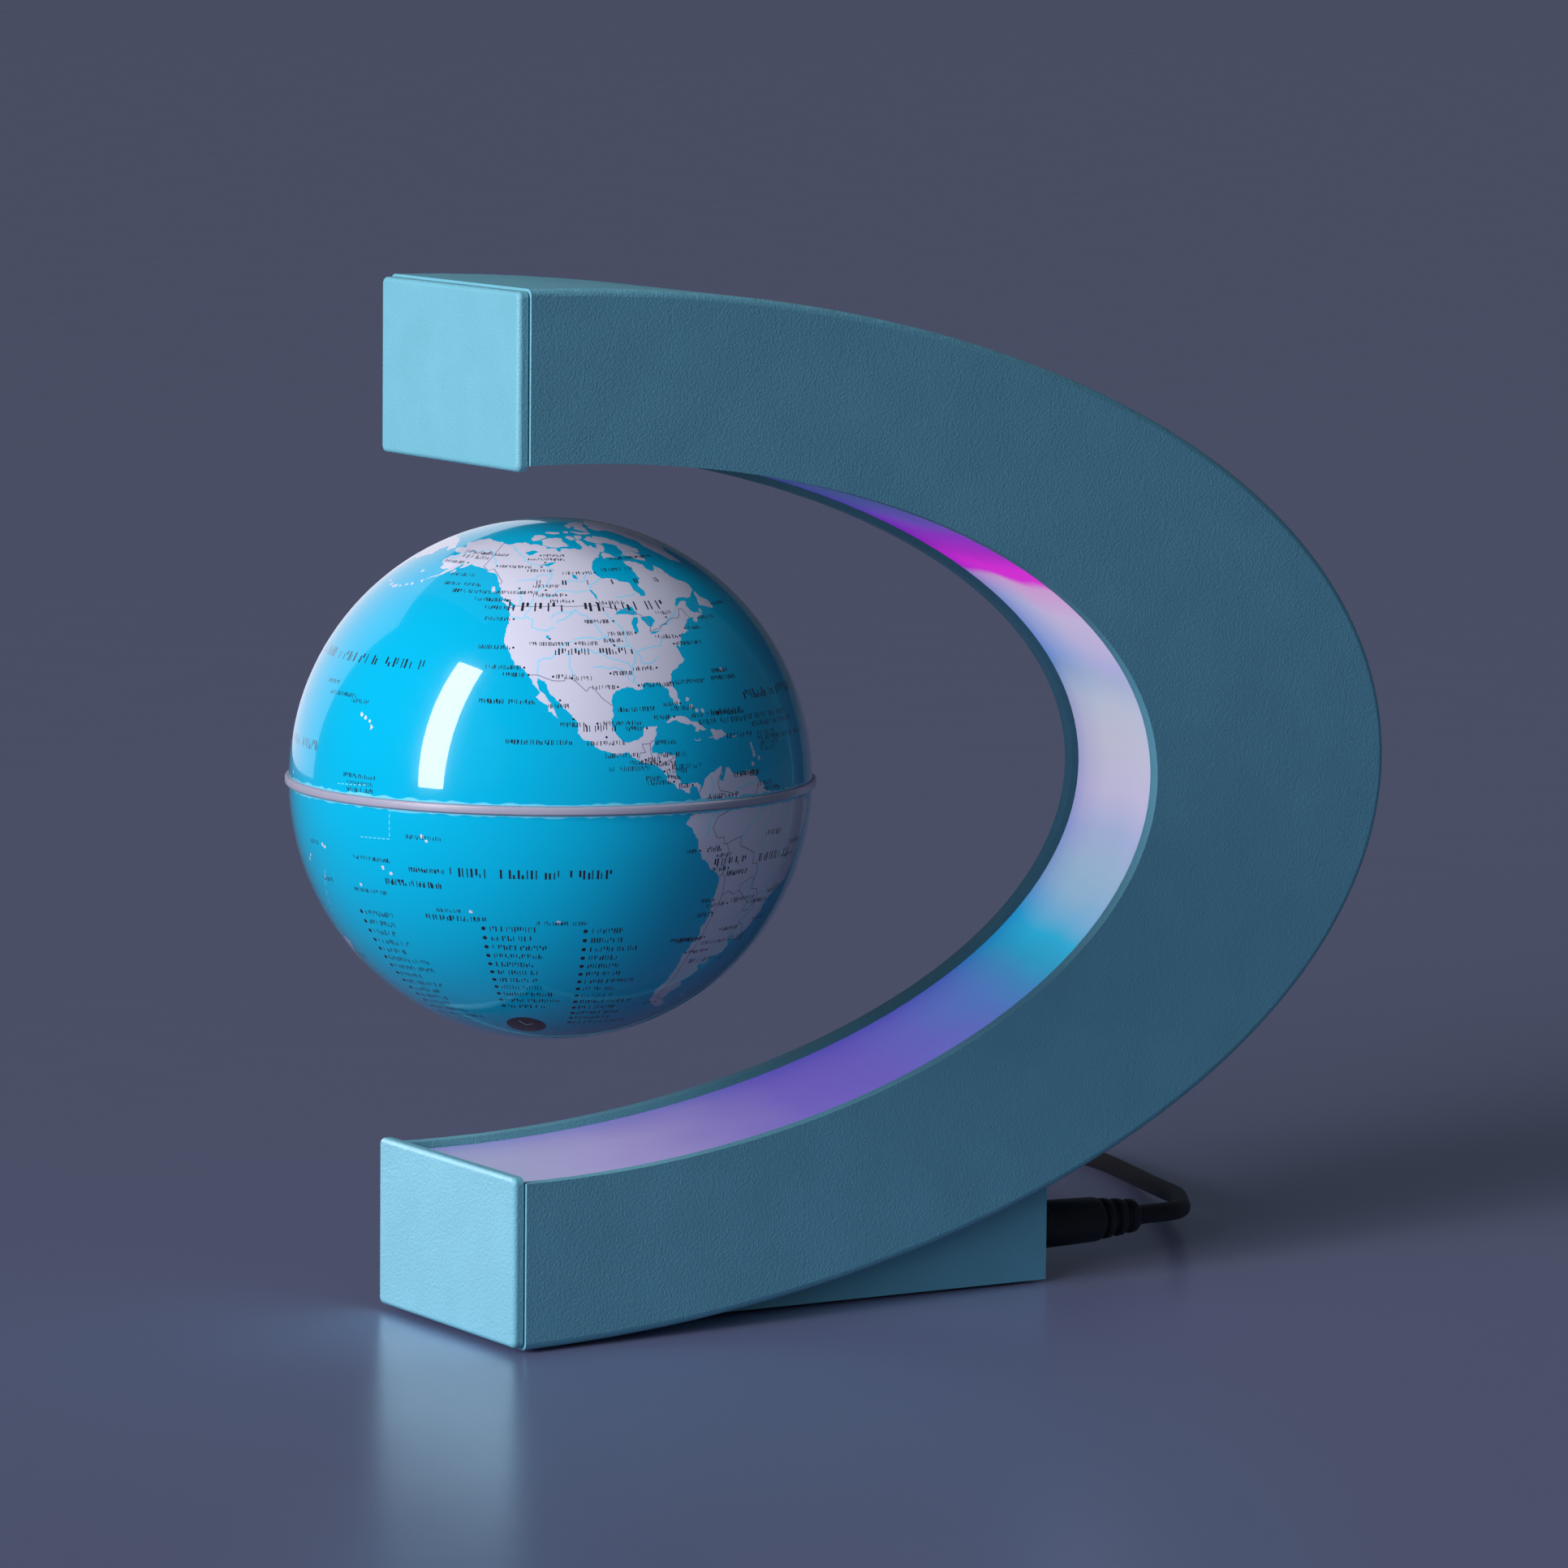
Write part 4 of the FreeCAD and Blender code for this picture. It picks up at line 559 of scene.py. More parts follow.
LAKES = """
-92 46.7, -89.5 48, -86 48.7, -84.8 46.6, -87.5 46.5;
-87.8 42, -87.8 44.5, -86.8 45.8, -85.2 45.7, -86.4 44, -86.6 42;
-84.5 45.9, -81 46, -80 44.6, -81.7 43.3, -82.5 43.1, -83.4 44.2;
-83.3 41.7, -82.5 42, -79 42.8, -81.5 41.6;
-79.7 43.3, -78.5 43.3, -76.3 43.6, -76.5 44.1;
-98.7 53.5, -97.5 53.5, -96.4 50.5, -97.2 51.5;
-117 61.2, -113 62.2, -109.5 62.8, -112.5 61.2;
-125 66, -120.5 67, -118 66.5, -121 65.2, -123 65;
-103.5 58.5, -102 58, -101.6 56.8, -103 57;
-112.9 41.6, -112.2 41.6, -112.2 40.8, -112.9 40.9;
-72.1 10.6, -71.4 10.6, -71.2 9.3, -72.1 9.5;
-69.8 -15.4, -68.8 -16.4, -69.2 -16.6, -70 -15.8;
-85.9 12, -84.9 11.2, -85.5 11.2;
49.5 41, 47.5 43, 47 45.5, 51 47, 53 46, 52.5 42, 53.8 39, 53.8 37, 50 37.4, 49 38.5, 49.5 40.3;
58.5 45, 60 46.6, 61.5 46, 60 43.8;
104 51.5, 108 53, 109.8 55.5, 108.5 54.5, 105.5 52.3;
30.5 60.2, 32.5 60.2, 31.5 61.6, 30.2 61;
31.8 0.3, 34 0, 33.6 -2.4, 31.8 -2.2;
29.3 -3.6, 30.9 -8.6, 30.3 -8.4, 29.1 -5;
34 -10, 34.9 -12, 34.6 -14.2, 34.2 -12;
"""

RIVERS = """
-95.2 47.2, -93 45, -91.2 43, -91 40.8, -90.2 38.8, -89.2 37, -89.8 35, -91 33, -91.3 31, -89.6 29.3;
-111.5 46, -108 47.6, -104 48, -100.8 46.5, -98 42.9, -96 41.3, -94.7 39.1, -90.4 38.8;
-80 40.5, -82 38.6, -85.7 38.3, -89.2 37;
-83.5 36, -86.5 34.6, -88.2 35, -88.4 37;
-105.5 38.6, -102 38, -98 37.7, -95 35.8, -91.2 33.8;
-101 34.2, -97 33.8, -94 33.6, -92 31.2;
-107.5 37.6, -106.8 34, -106.5 31.8;
-105.8 40.2, -109 39, -110.5 37.5, -112.5 36.2, -114.6 35.8, -114.6 32;
-117.5 51, -118.2 49, -119.2 46, -121 45.7, -123.8 46.2;
-110.5 43.5, -113 42.7, -116.5 43.3, -117 45.5, -119 46.2;
-110 44.8, -107 46.2, -104 48;
-105.5 40.5, -101.5 41, -98.3 40.7, -96 41.1;
-117 61.2, -121.3 61.9, -124.5 64.2, -128.7 66.2, -134.5 68.5;
-124 56, -118 56.2, -114.5 58.4, -111.3 58.8;
-117 53, -112.5 56.6, -111.3 58.8, -113.7 61.2;
-115 51.5, -110 53, -105 53.2, -99.3 53.2;
-97.8 54, -95 56, -92.7 57;
-108 55.8, -101 56, -94.3 58.7;
-76.3 44.2, -73.5 45.5, -71.2 46.8;
-90 51.2, -86 51.6, -82.5 52.1;
-135 61, -139.5 64, -145 66.3, -151 65.2, -158 64.5, -160 62.3, -164 62.8;
-123 54, -122 52, -121.4 49.5;
-76 -9, -75 -6, -74 -4.5, -70 -4, -65 -3.3, -60 -3.2, -55 -2.3, -51.5 -1.2;
-66 2.5, -67.7 5, -67 7.6, -63.5 8, -61 8.9;
-75.5 3, -74.5 7, -74.6 10.8;
-69.8 1, -66 0.2, -62 -1.5, -60 -3.1;
-49.5 -19.5, -52.5 -22.5, -54.5 -25.6, -57 -27.4, -59 -28, -60.5 -32, -58.6 -34;
-57.7 -16.5, -57.8 -20, -57.6 -25, -58.6 -27.3;
-65.4 -10.3, -62.8 -7.5, -58.8 -3.4;
-57 -14, -57.5 -8, -55 -2.4;
-51.5 -15, -51 -8, -51.3 -1.7;
-46 -20, -44 -14, -40.5 -9, -36.5 -10.4;
-70.5 -39, -66.5 -39, -63 -40.8;
32 2.5, 31.5 7, 30.5 10, 32.5 15.6, 33.5 18.5, 31 20, 32.8 24.5, 31 28, 31.2 31.2;
-10 10, -4 14.5, 0 17, 4 12.5, 6 8, 6.2 4.5;
24 -11, 26 -3, 22 2, 18 0, 15.5 -4, 12.5 -6;
24 -14, 27 -18, 31 -16, 36 -18.8;
8.5 47.5, 8 50, 5 52;
10 48.3, 16.5 48.2, 19 45, 24 43.8, 28 45.2;
33 56, 40 57.8, 48 56, 49 53, 45.5 49, 47.5 46;
82 52, 77 58, 69 61, 66.6 66;
92 52, 92 58, 87 65, 82 71.5;
106 55, 115 60, 128 63, 126 70;
74 32, 71 29.5, 68 25;
79 30, 83 25.5, 88 24.8, 90 22.5;
92 33, 99 28, 104 29.5, 112 30.5, 121 31.6;
97 34.5, 104 36.5, 110 40.3, 111 35, 118 37.6;
95 32, 99 24, 102 18, 105.5 14, 106 10.3;
144 -37, 141 -34.3, 147 -31, 150 -27;
"""

BORDERS = """
-123.1 49, -95.2 49, -94.6 48.7, -90 48.1, -89.4 48, -84.5 46.5, -82.5 45.3, -82.4 43, -83.1 42.1, -79 42.9,
  -79 43.3, -76.4 44.1, -74.7 45, -71.5 45, -70.3 45.9, -69.2 47.4, -67.8 47.1, -67.8 45.7, -67 44.9;
-117.1 32.5, -114.8 32.5, -111 31.3, -108.2 31.3, -108.2 31.8, -106.5 31.8, -104.9 30.6, -103.1 29, -102.3
  29.9, -101.4 29.8, -99.5 27.5, -97.2 25.9;
-141 69.6, -141 60.3, -137.5 59, -135.5 59.7, -133.5 58.4, -130 56, -130 55;
-92.2 14.6, -91.7 16, -90.4 16.1, -91 17.3, -91 17.8, -89.2 17.8, -88.3 18.5;
-89.2 17.8, -89.2 15.9, -88.4 14, -87.8 13.4;
-87.3 13, -85.8 13.9, -83.2 15;
-85.7 11.1, -83.7 10.9;
-82.9 8.2, -82.6 9.6;
-77.8 7.3, -77.3 8.6;
-71.3 11.9, -72.8 9.2, -72.3 7.4, -70.1 7, -67.5 6.2, -67.4 2.8, -66.9 1.2;
-66.9 1.2, -69.8 1.7, -69.4 -1, -70 -4.2;
-70 -4.2, -72.9 -2.4, -75.2 -0.1, -77.5 0.4, -78.9 1.4;
-75.2 -0.2, -78.2 -3.2, -79.6 -4.5, -80.2 -3.4;
-70 -4.2, -72.9 -5.2, -74 -7.5, -72.7 -9.5, -70.6 -9.6, -70.6 -11, -69.5 -11;
-69.5 -11, -65.4 -9.8, -65.3 -11.8, -60.3 -13.7, -60 -16.2, -58.3 -16.3, -57.6 -18.2, -58 -20;
-69.5 -11, -68.8 -12.7, -69.3 -15.5, -69.5 -17.5, -68.4 -19, -68 -22.8;
-69.5 -17.5, -70.4 -18.4;
-68 -22.8, -68.5 -25, -69.8 -30, -70 -33.5, -71.2 -37, -71.8 -41, -71.7 -45, -73 -49.5, -72.2 -51.5, -68.5
  -52.3;
-68 -22.8, -66.3 -21.8, -64.3 -22.8, -62.7 -22;
-62.7 -22, -62.2 -20.5, -59.1 -19.3, -58.1 -20;
-62.7 -22, -57.7 -25.3, -58.6 -27.3, -56 -27.3, -54.6 -25.6;
-58 -20, -57.9 -22.1, -55.8 -22.3, -54.3 -24, -54.6 -25.6;
-54.6 -25.6, -53.7 -27, -57.6 -30.2;
-57.6 -30.2, -55.5 -31, -53.4 -33.7;
-57.6 -30.2, -58.3 -34;
-60 8.5, -61.3 6, -60.7 5.2, -59.8 4.5, -59.8 2, -56.5 1.9, -54.5 2.3, -52.6 2.4, -51.7 4;
-57.2 6, -58 4, -56.5 1.9;
-54.5 2.3, -54 5.8;
-66.9 1.2, -65.5 0.8, -64 1.9, -63.4 3.7, -60.7 5.2;
-1.8 43.4, 3.1 42.5;
-7 41.9, -6.5 39.5, -7.3 37.2;
7.5 43.8, 7 46, 6 46.5, 7.6 47.6, 8.2 49, 6.2 49.5, 2.5 51;
7.6 47.6, 13 47.5, 13 49, 15 51, 14.5 53.9;
13 47.5, 16 46.8, 19 48, 22.5 48, 24 50.5, 23.5 54, 20 54.4;
22.5 48, 26.5 48.2, 28.2 45.5;
24 50.5, 31 51.5, 34 50.3, 40 49.6, 38.2 47.1;
28 59.5, 28 56, 31 54, 31 51.5;
28.5 60.6, 31 63, 28.5 69, 30.8 69.8;
11.5 59, 12.5 62, 17 67.5, 25 68.5, 28.5 69;
20 42.5, 22.5 44, 21 46, 16.5 46.3, 13.7 45.6;
26.3 41.5, 28 42;
36 36.8, 42 37.2, 44.8 38.5, 44 40, 41.6 41.5;
44.8 38.5, 46 35, 48 30.5;
42 37.2, 41 34.3, 36 32.5, 35.5 33;
41 34.3, 39.3 32, 42 31, 46.5 29.2, 48.3 28.6;
44.8 38.5, 48.8 38.4;
54 37.3, 61 36.6, 61 31.5, 61.7 25.2;
61 36.6, 66.5 37.3, 74.5 37;
66.3 29.8, 69.5 31.8, 71.2 35, 74.5 37, 78 35.5;
78 35.5, 75 32.2, 71 28, 70.5 24.5, 68.2 23.8;
78 35.5, 80 30.7, 88 27.5, 92 27.4, 97 28.2;
88 27.5, 89.5 25.8, 92.4 25, 92.2 21.2;
97 28.2, 95 25.5, 93 23.5, 92.2 21.2;
97.5 24, 101.5 22, 106.5 22.5, 108 21.6;
101.5 22, 98.5 18, 98.5 12, 99.5 10;
101 18, 105 16, 107.5 12.5, 104.8 10.4;
52 45.5, 49 50.5, 61.5 51, 71 54, 80 51, 87 49.3;
87 49.3, 82 45.2, 80 42, 74 39.5, 74.5 37;
87 49.3, 98 51.8, 108 49.5, 116.5 49.8, 120 52.8, 127 50, 131 47.8, 135 48.4, 131 43;
87 49.3, 96 43, 105 41.7, 112 44.5, 119.5 47, 116.5 49.8;
124.5 40, 128.5 42, 130.6 42.3;
126.6 38, 128.4 38.6;
109.6 1.8, 112 1.3, 115 3, 117.5 4.2;
141 -2.6, 141 -9.1;
-2 35.1, -1.5 32.5, -8.7 28.8, -8.7 27.3, -13 27.7;
-8.7 27.3, 3 19.2, 12 23.5, 9.5 30.2, 11.5 33.2;
12 23.5, 24 19.6, 25 22, 25 31.5;
25 22, 36.8 22;
3 19.2, 4 14, -4 14.5, -12 15, -16.5 16;
4 14, 4 6.4;
14 13, 15 16, 15 23;
14 13, 10.5 7, 8.6 4.8;
14 13, 15.5 7.7, 24 8.7, 24 19.6;
24 8.7, 30.5 3.6, 34 4.3, 41 4, 43 11;
34 4.3, 33 8, 36.5 14.3, 39 15;
41 4, 41.5 -1.7;
34 -1, 37.6 -3, 39.2 -4.7;
30.5 3.6, 29.5 -1.3, 30.5 -8.4, 28.5 -12.5, 24 -11, 22 -7.5, 16.5 -5.9, 12.3 -6;
24 -11, 24 -17.5, 12 -17.3;
28.5 -12.5, 33 -10, 40.4 -10.8;
25 -17.8, 30.3 -15.8, 33 -14;
30.3 -15.8, 33 -19.5, 31.5 -22.3, 32 -26.8;
20 -28.5, 20 -22, 25.5 -25.5, 31.5 -22.3;
20 -28.5, 16.5 -28.6;
-10 6.8, -8 10, -5 10.5, -3 5;
"""

DOTS = """
-118.2 34.1 -1 11, -117 32.5 -1 7, -105 39.7 1 6, -95.4 29.8 -1 7, -90.1 30 1 11, -84.4 33.7 -1 7, -74 40.7
-1 8, -77 38.9 1 10, -75.7 45.4 2 6, -113.5 53.5 2 8, -99.1 19.4 0 12, -82.4 23.1 -1 6, -74.1 4.6 2 6, -77
-12 -1 4, -68.1 -16.5 -1 6, -70.6 -33.4 -1 8, -58.4 -34.6 -1 12, -47.9 -15.8 1 8, -111.9 40.8 0 12, -121.5
38.6 -1 10, -122.6 45.5 -1 8, -123.4 48.4 -1 8, -122.7 53.9 0 12, -106.7 52.1 -1 9, -104.6 50.4 -1 6, -97.1
49.9 1 8, -94.2 58.8 -1 9, -114.4 62.4 2 11, -115.8 60.8 0 8, -117 65 1 7, -135 60.7 1 10, -150 61.2 -1 9,
-147.7 64.8 1 9, -94.6 39.1 2 6, -96.8 32.8 1 6, -106.5 31.8 1 6, -111 32.2 1 6, -109.4 27.1 0 7, -106.4
23.2 0 8, -101 22.2 1 13, -89.6 21 -1 6, -81.7 30.3 1 12, -80.2 25.8 -1 5, -71 42.4 1 6, -68.5 63.7, -63.6
44.6 1 7, -52.7 47.6 1 7, -87.6 41.9, -93.3 45, -90.5 14.6, -89.2 13.7, -87.2 14.1, -86.3 12.1, -84.1 9.9,
-79.5 9, -66.9 10.5, -78.5 -0.2, -79.9 -2.2, -72 -13.5, -57.6 -25.3, -56.2 -34.9, -43.2 -22.9, -46.6 -23.5,
-38.5 -13, -60 -3.1, -48.5 -1.5, -55.2 5.8, -58.2 6.8, -64.2 -31.4, -63.2 -17.8, -68.8 -32.9, -71.6 -33, -73
-36.8, -71 -53.1, -70.4 -23.6, -65.4 -24.8, -49.3 -25.4, -51.2 -30, -0.1 51.5, 2.3 48.9, -3.7 40.4, -9.1
38.7, 12.5 41.9, 13.4 52.5, 21 52.2, 37.6 55.8, 30.3 59.9, 18.1 59.3, 24.9 60.2, 10.8 59.9, 23.7 38, 29 41,
30.5 50.5, 16.4 48.2, -21.9 64.1, 31.2 30, 13.2 32.9, 3.1 36.8, -7.6 33.6, -17.4 14.7, -0.2 5.6, 3.4 6.5,
15.3 -4.3, 36.8 -1.3, 38.8 9, 32.5 15.6, 28 -26.2, 18.4 -33.9, 47.5 -18.9, 44.4 33.3, 51.4 35.7, 46.7 24.6,
67 24.9, 77.2 28.6, 72.8 19, 80.3 13.1, 88.4 22.6, 96.2 16.8, 100.5 13.8, 106.8 -6.2, 105.8 21, 114.2 22.3,
121.5 31.2, 116.4 39.9, 127 37.6, 139.7 35.7, 131.9 43.1, 82.9 55, 104.3 52.3, 129.7 62, 69.3 41.3, 106.9
47.9, 121 14.6, 147.2 -9.5, 151.2 -33.9, 145 -37.8, 115.9 -32, 138.6 -34.9, 153 -27.5, 130.8 -12.4, 174.8
-36.8, 174.8 -41.3;
"""

ISLETS = """
178 -17.8, 179.3 -16.7, -172.4 -13.6, -171.4 -14, -149.4 -17.6, -151.5 -16.5, -91.1 -0.5, -90.3 -0.7, -140.1
-8.9, -139.1 -9.8, -109.4 -27.1, -158 21.5, -156.4 20.8, -159.5 22, -164.5 54.2, -168.3 53.1, -171 52.6,
-174.2 52, -176.7 51.8, -178.5 51.5, 174 52.6, -61.5 16.2, -61.3 15.4, -61 14.6, -61 13.9, -59.5 13.2, -61.7
12.1, -61.3 10.5, -77.4 25, -76.2 24.2, -78 26.6, -74.5 24, -64.8 32.3, -28 38.6, -25.5 37.8, -17 32.7,
-16.5 28.3, -14 28.4, -24.5 15.1, -23.6 15, 55.5 -21.1, 57.6 -20.3, 43.4 -11.6, 73.5 4.2, 160 -9.5, 161.2
-9, 157.3 -8, 167.1 -15.4, 168.3 -17.7, 144.8 13.5, 134.5 7.5, 158.2 6.9, 171.3 7.1, 173 1.4, -160 -21.2,
-175.2 -21.2, -130.1 -25.1, 178.4 51.9, -170.3 57.1, -131.9 53.2, -153 58.2, 166.5 -0.5;
"""
# Names on the map, as plain strokes and not as letters: where the name starts, how tall it is, how far
# apart its letters would be, and how many there would be in each word.
NAMES = """
-134 -16.2 2 1.9 5 7 5, -195 33.7 2.1 2.3 5 7 5, -125 48.8 2.3 2.7 5 7, -110.5 37.8 1.5 1.35 6 6, -104.2
21.2 1.3 1.2 6, -117 55.8 1.4 5.2 6, -158.5 65.2 1.3 1.2 6, -156.8 63.4 1.3 1.2 6, -60 26.4 2 1.75 5 8 5,
-72.6 -15 1.8 2.05 5, -58 -15.1 1.8 2.05 7, -56.7 -10 1.3 1 6, -75 -11.9 1.2 1 4, -68.2 -17.7 1.2 0.95 7,
-64.3 -24.3 1.2 1.05 8, -69.7 -39.6 1.3 1.27 9, -74 -26.9 1.3 1 5, -81 -3.6 1.1 0.9 7, -75.2 6.3 1.2 1.05 8,
-68.2 10.3 1.2 1 9, -60.4 7.9 1 0.85 6, -58.2 -34.1 1 0.8 7, -99.5 15.6 1 0.85 9, -87.6 15.4 1 0.85 8, -98.8
12.9 1 0.85 2 8, -84.4 12.9 1 0.85 9, -90.6 10.8 1 0.85 5 4, -87.9 18 1 0.8 6, -72.2 23.5 1.2 1 9, -76 21.6
1.2 1 5 8, -60.8 21.8 1.2 0.95 2 5 3 5, -59.8 20.2 1.2 0.95 7 3 7, -68.8 18.3 1.1 1 8, -58.6 18.2 1 0.9 2 5,
-58.6 17.1 1 0.9 2 7 3 3 10, -58.4 16 1 0.9 8, -58.4 14.9 1 0.9 7, -82.9 24.8 1 0.85 7, -128.4 26.7 1 0.64 9
3 5, -121.4 18.4 1 0.64 12 3 5, -96 25 1 0.62 4 2 6, -69.2 30.6 1 0.62 12, -68.2 32.2 1 0.62 8, -153 57.3 1
0.66 6 2, -152.7 54.5 1 0.66 4 2 6, -147 52.5 1 0.66 5 8 3, -137 50.5 1 0.66 9 2, -178.2 27.8 0.9 0.62 6 2,
-174.8 25.6 0.9 0.62 7 9, -164.5 24.6 0.9 0.62 6 2, -162.4 9.4 0.9 0.62 7 8, -161 7.9 0.9 0.62 6 6, -161 6.6
0.9 0.62 8 4, -77.7 23.1 1 0.66 5 1 6 8, -91 59.7 1.1 0.8 6 3, -84 63.5 1 0.66 11 2, -160.4 -14.9 0.9 0.62 3
2 2 8, -144.3 -9.2 0.9 0.62 3 10, -144.3 -16.3 1 0.66 7 5, -151.5 -19.5 1.4 0.93 6 9, -142.1 -27 1.3 0.83 8
3 4, -138.9 -25.2 0.9 0.68 9, -114.7 -27.5 1 0.62 2 2 6 5, -163 -22.4 0.9 0.62 8 4 3, -178.5 -13.4 1 0.85 5,
-176 -21.4 1 0.85 5, -39 -24 2 1.9 5 8 5, 66 -22 2 1.9 6 5, 5 8 2.3 2.7 6, 10 52.2 1.8 2.4 6, 66 47 2.3 3 4,
122 -22.5 1.8 2.2 9, 82 63 1.5 4.2 6, 94 36 1.6 2.6 5, 75 23.5 1.4 1.2 5, 43 24.3 1.3 1.1 5 6, 17 -2 1.2 1
5, -4 41.6 1 0.9 5, 0.5 47.2 1.1 0.9 6, 8.4 49.8 1.1 0.9 7, 53 32.8 1.2 1 4, 26 27 1.2 1 5, -3 28 1.3 1.1 7,
18.5 -24.5 1.2 1 7, 20 -31 1.2 1 5 6, 44 5.5 1.1 0.9 7, 134 37.6 1.2 1 5, 99.5 16.8 1.1 0.9 8, 104 -1.5 1.4
1.4 9, 28 64.6 1.1 0.9 7, 63 40.4 1.2 1.2 10, 100 46.8 1.3 1.3 8, -41 73 1.8 3 9, 138 4.5 1.2 1.1 10, 150 14
2 1.9 5 7 5, 132 -40 1 0.66 5 10, 162 -36 1 0.66 6 3, 88 13 1.1 0.8 3 2 6, 60 15 1.1 0.9 7 3, -12 60 1.1 0.9
9 3;
"""
# The three lists in the southern ocean: where each starts and how many rows it has.
LISTS = ((-161.7, -27.8, 16), (-126.0, -29.1, 11), (-101.2, -29.5, 14))
LIST_ROW, LIST_SIZE, LIST_PITCH = 2.4, 1.3, 1.17    # degrees from row to row, and a row's size and pitch
CITY_SIZE, CITY_PITCH = 0.95, 0.68                  # the same for a city's name
# Dashed lines over the sea, each from one end to the other.
ROUTES = (((-148, -0.9), (-148.6, -10.1)), ((-148.6, -10.1), (-157.6, -10.3)),
          ((-174.2, -19.4), (174.5 - 360, -36.6)), ((-164.3, 7.3), (-154.6, 7.8)))
# The small dark disc in the southern ocean: its longitude, its distance from the pole and its radius.
DISC_LON, DISC_REACH, DISC_RADIUS = -122, 90 - 61.7, 4.5

GLOBE_RADIUS = 42.5 * MM
GLOBE_WALL = 1.5 * MM
RING_HALF = 0.75 * MM
DEGREE = 1 / 90                 # one degree of latitude in the flat map, whose radius is 1 at the equator
PRINT_TURN = 8.0                # how far the print is turned on the globe, in degrees
PRINT_STRETCH = {1: 1.053, -1: 1.03}   # the printed foils are drawn past the seam and trimmed there
GRID_STEP = 3.0                 # degrees between the mesh's own points
COAST_STEP = 0.42               # degrees between a coast's points

# Regions of the print, the later over the earlier.
PRINT = [
    ("print_ocean", "009cc2"),
    ("print_land", "b6bccd"),
    ("print_river", "7fc2dc"),
    ("print_lake", "009cc2"),
    ("print_border", "6d6f86"),
    ("print_dot", "1c1d2b"),
    ("print_route", "6fc3dc"),
    ("print_disc", "24272d"),
    ("print_hand", "9aa0a8"),
    ("print_edge", "5fb9d3"),
]
OCEAN, LAND, RIVER, LAKE, BORDER, DOT, ROUTE, DISC, HAND, EDGE = range(10)


def outlines(text):
    """Lists of (longitude, latitude) points."""
    lines = [line.split(",") for line in text.split(";") if line.strip()]
    return [[tuple(float(n) for n in point.split()) for point in line] for line in lines]


def between(a, b, wander, rng):
    """Points from a to b that wander to the sides, as a coast or a river does."""
    shrink = max(math.cos(math.radians((a[1] + b[1]) / 2)), 0.05)
    east, north = (b[0] - a[0]) * shrink, b[1] - a[1]
    if math.hypot(east, north) < COAST_STEP:
        return []
    push = rng.uniform(-wander, wander)
    mid = ((a[0] + b[0]) / 2 - north * push / shrink, (a[1] + b[1]) / 2 + east * push)
    return between(a, mid, wander, rng) + [mid] + between(mid, b, wander, rng)


def roughen(points, wander, rng, closed=False):
    """A line or a closed outline with a hand-drawn wander between its points."""
    ends = points[1:] + points[:1] if closed else points[1:]
    result = []
    for a, b in zip(points, ends):
        result += [a] + between(a, b, wander, rng)
    return result if closed else result + [points[-1]]


def ribbon(points, width):
    """Four-cornered pieces of a line of the given width in degrees."""
    pieces = []
    for a, b in zip(points, points[1:]):
        shrink = max(math.cos(math.radians((a[1] + b[1]) / 2)), 0.05)
        east, north = (b[0] - a[0]) * shrink, b[1] - a[1]
        length = math.hypot(east, north)
        if not length:
            continue
        e, n = east / length * width / 2, north / length * width / 2
        pieces.append([(a[0] + (-e * 0.4 + n) / shrink, a[1] - n * 0.4 - e),
                       (b[0] + (e * 0.4 + n) / shrink, b[1] + n * 0.4 - e),
                       (b[0] + (e * 0.4 - n) / shrink, b[1] + n * 0.4 + e),
                       (a[0] + (-e * 0.4 - n) / shrink, a[1] - n * 0.4 + e)])
    return pieces


def blot(spot, radius, count, rng=None):
    """A round blot of the given radius in degrees, with an uneven edge if it has a random source."""
    shrink = max(math.cos(math.radians(spot[1])), 0.05)
    result = []
    for k in range(count):
        turn = 2 * math.pi * k / count
        reach = radius * (rng.uniform(0.6, 1.3) if rng else 1.0)
        result.append((spot[0] + reach * math.cos(turn) / shrink, spot[1] + reach * math.sin(turn)))
    return result


def dashes(a, b, count, width):
    """A broken line of count dashes."""
    pieces = []
    for k in range(count):
        start, end = k / count, (k + 0.55) / count
        ends = [tuple(p + (q - p) * t for p, q in zip(a, b)) for t in (start, end)]
        pieces += ribbon(roughen(ends, 0.0, random.Random(0)), width)
    return pieces


def marks(lon, lat, size, pitch, words, rng):
    """A row of plain upright strokes in place of a small printed name."""
    shrink = max(math.cos(math.radians(lat)), 0.05)
    along, strokes = 0.0, []
    for letters in words:
        for _ in range(int(letters)):
            for shift, shares in ((0.0, (0.75, 1.0)), (0.42, (0.0, 0.45, 0.7, 1.0))):
                share = rng.choice(shares)
                if share:
                    left = lon + (along + shift * size) / shrink
                    right = left + rng.choice((0.14, 0.24)) * size / shrink
                    low = lat - size / 2 + rng.choice((0.0, 1.0 - share)) * size
                    high = low + share * size
                    strokes.append((DOT, [(left, low), (right, low), (right, high), (left, high)]))
            along += pitch
        along += 0.8 * pitch
    return strokes


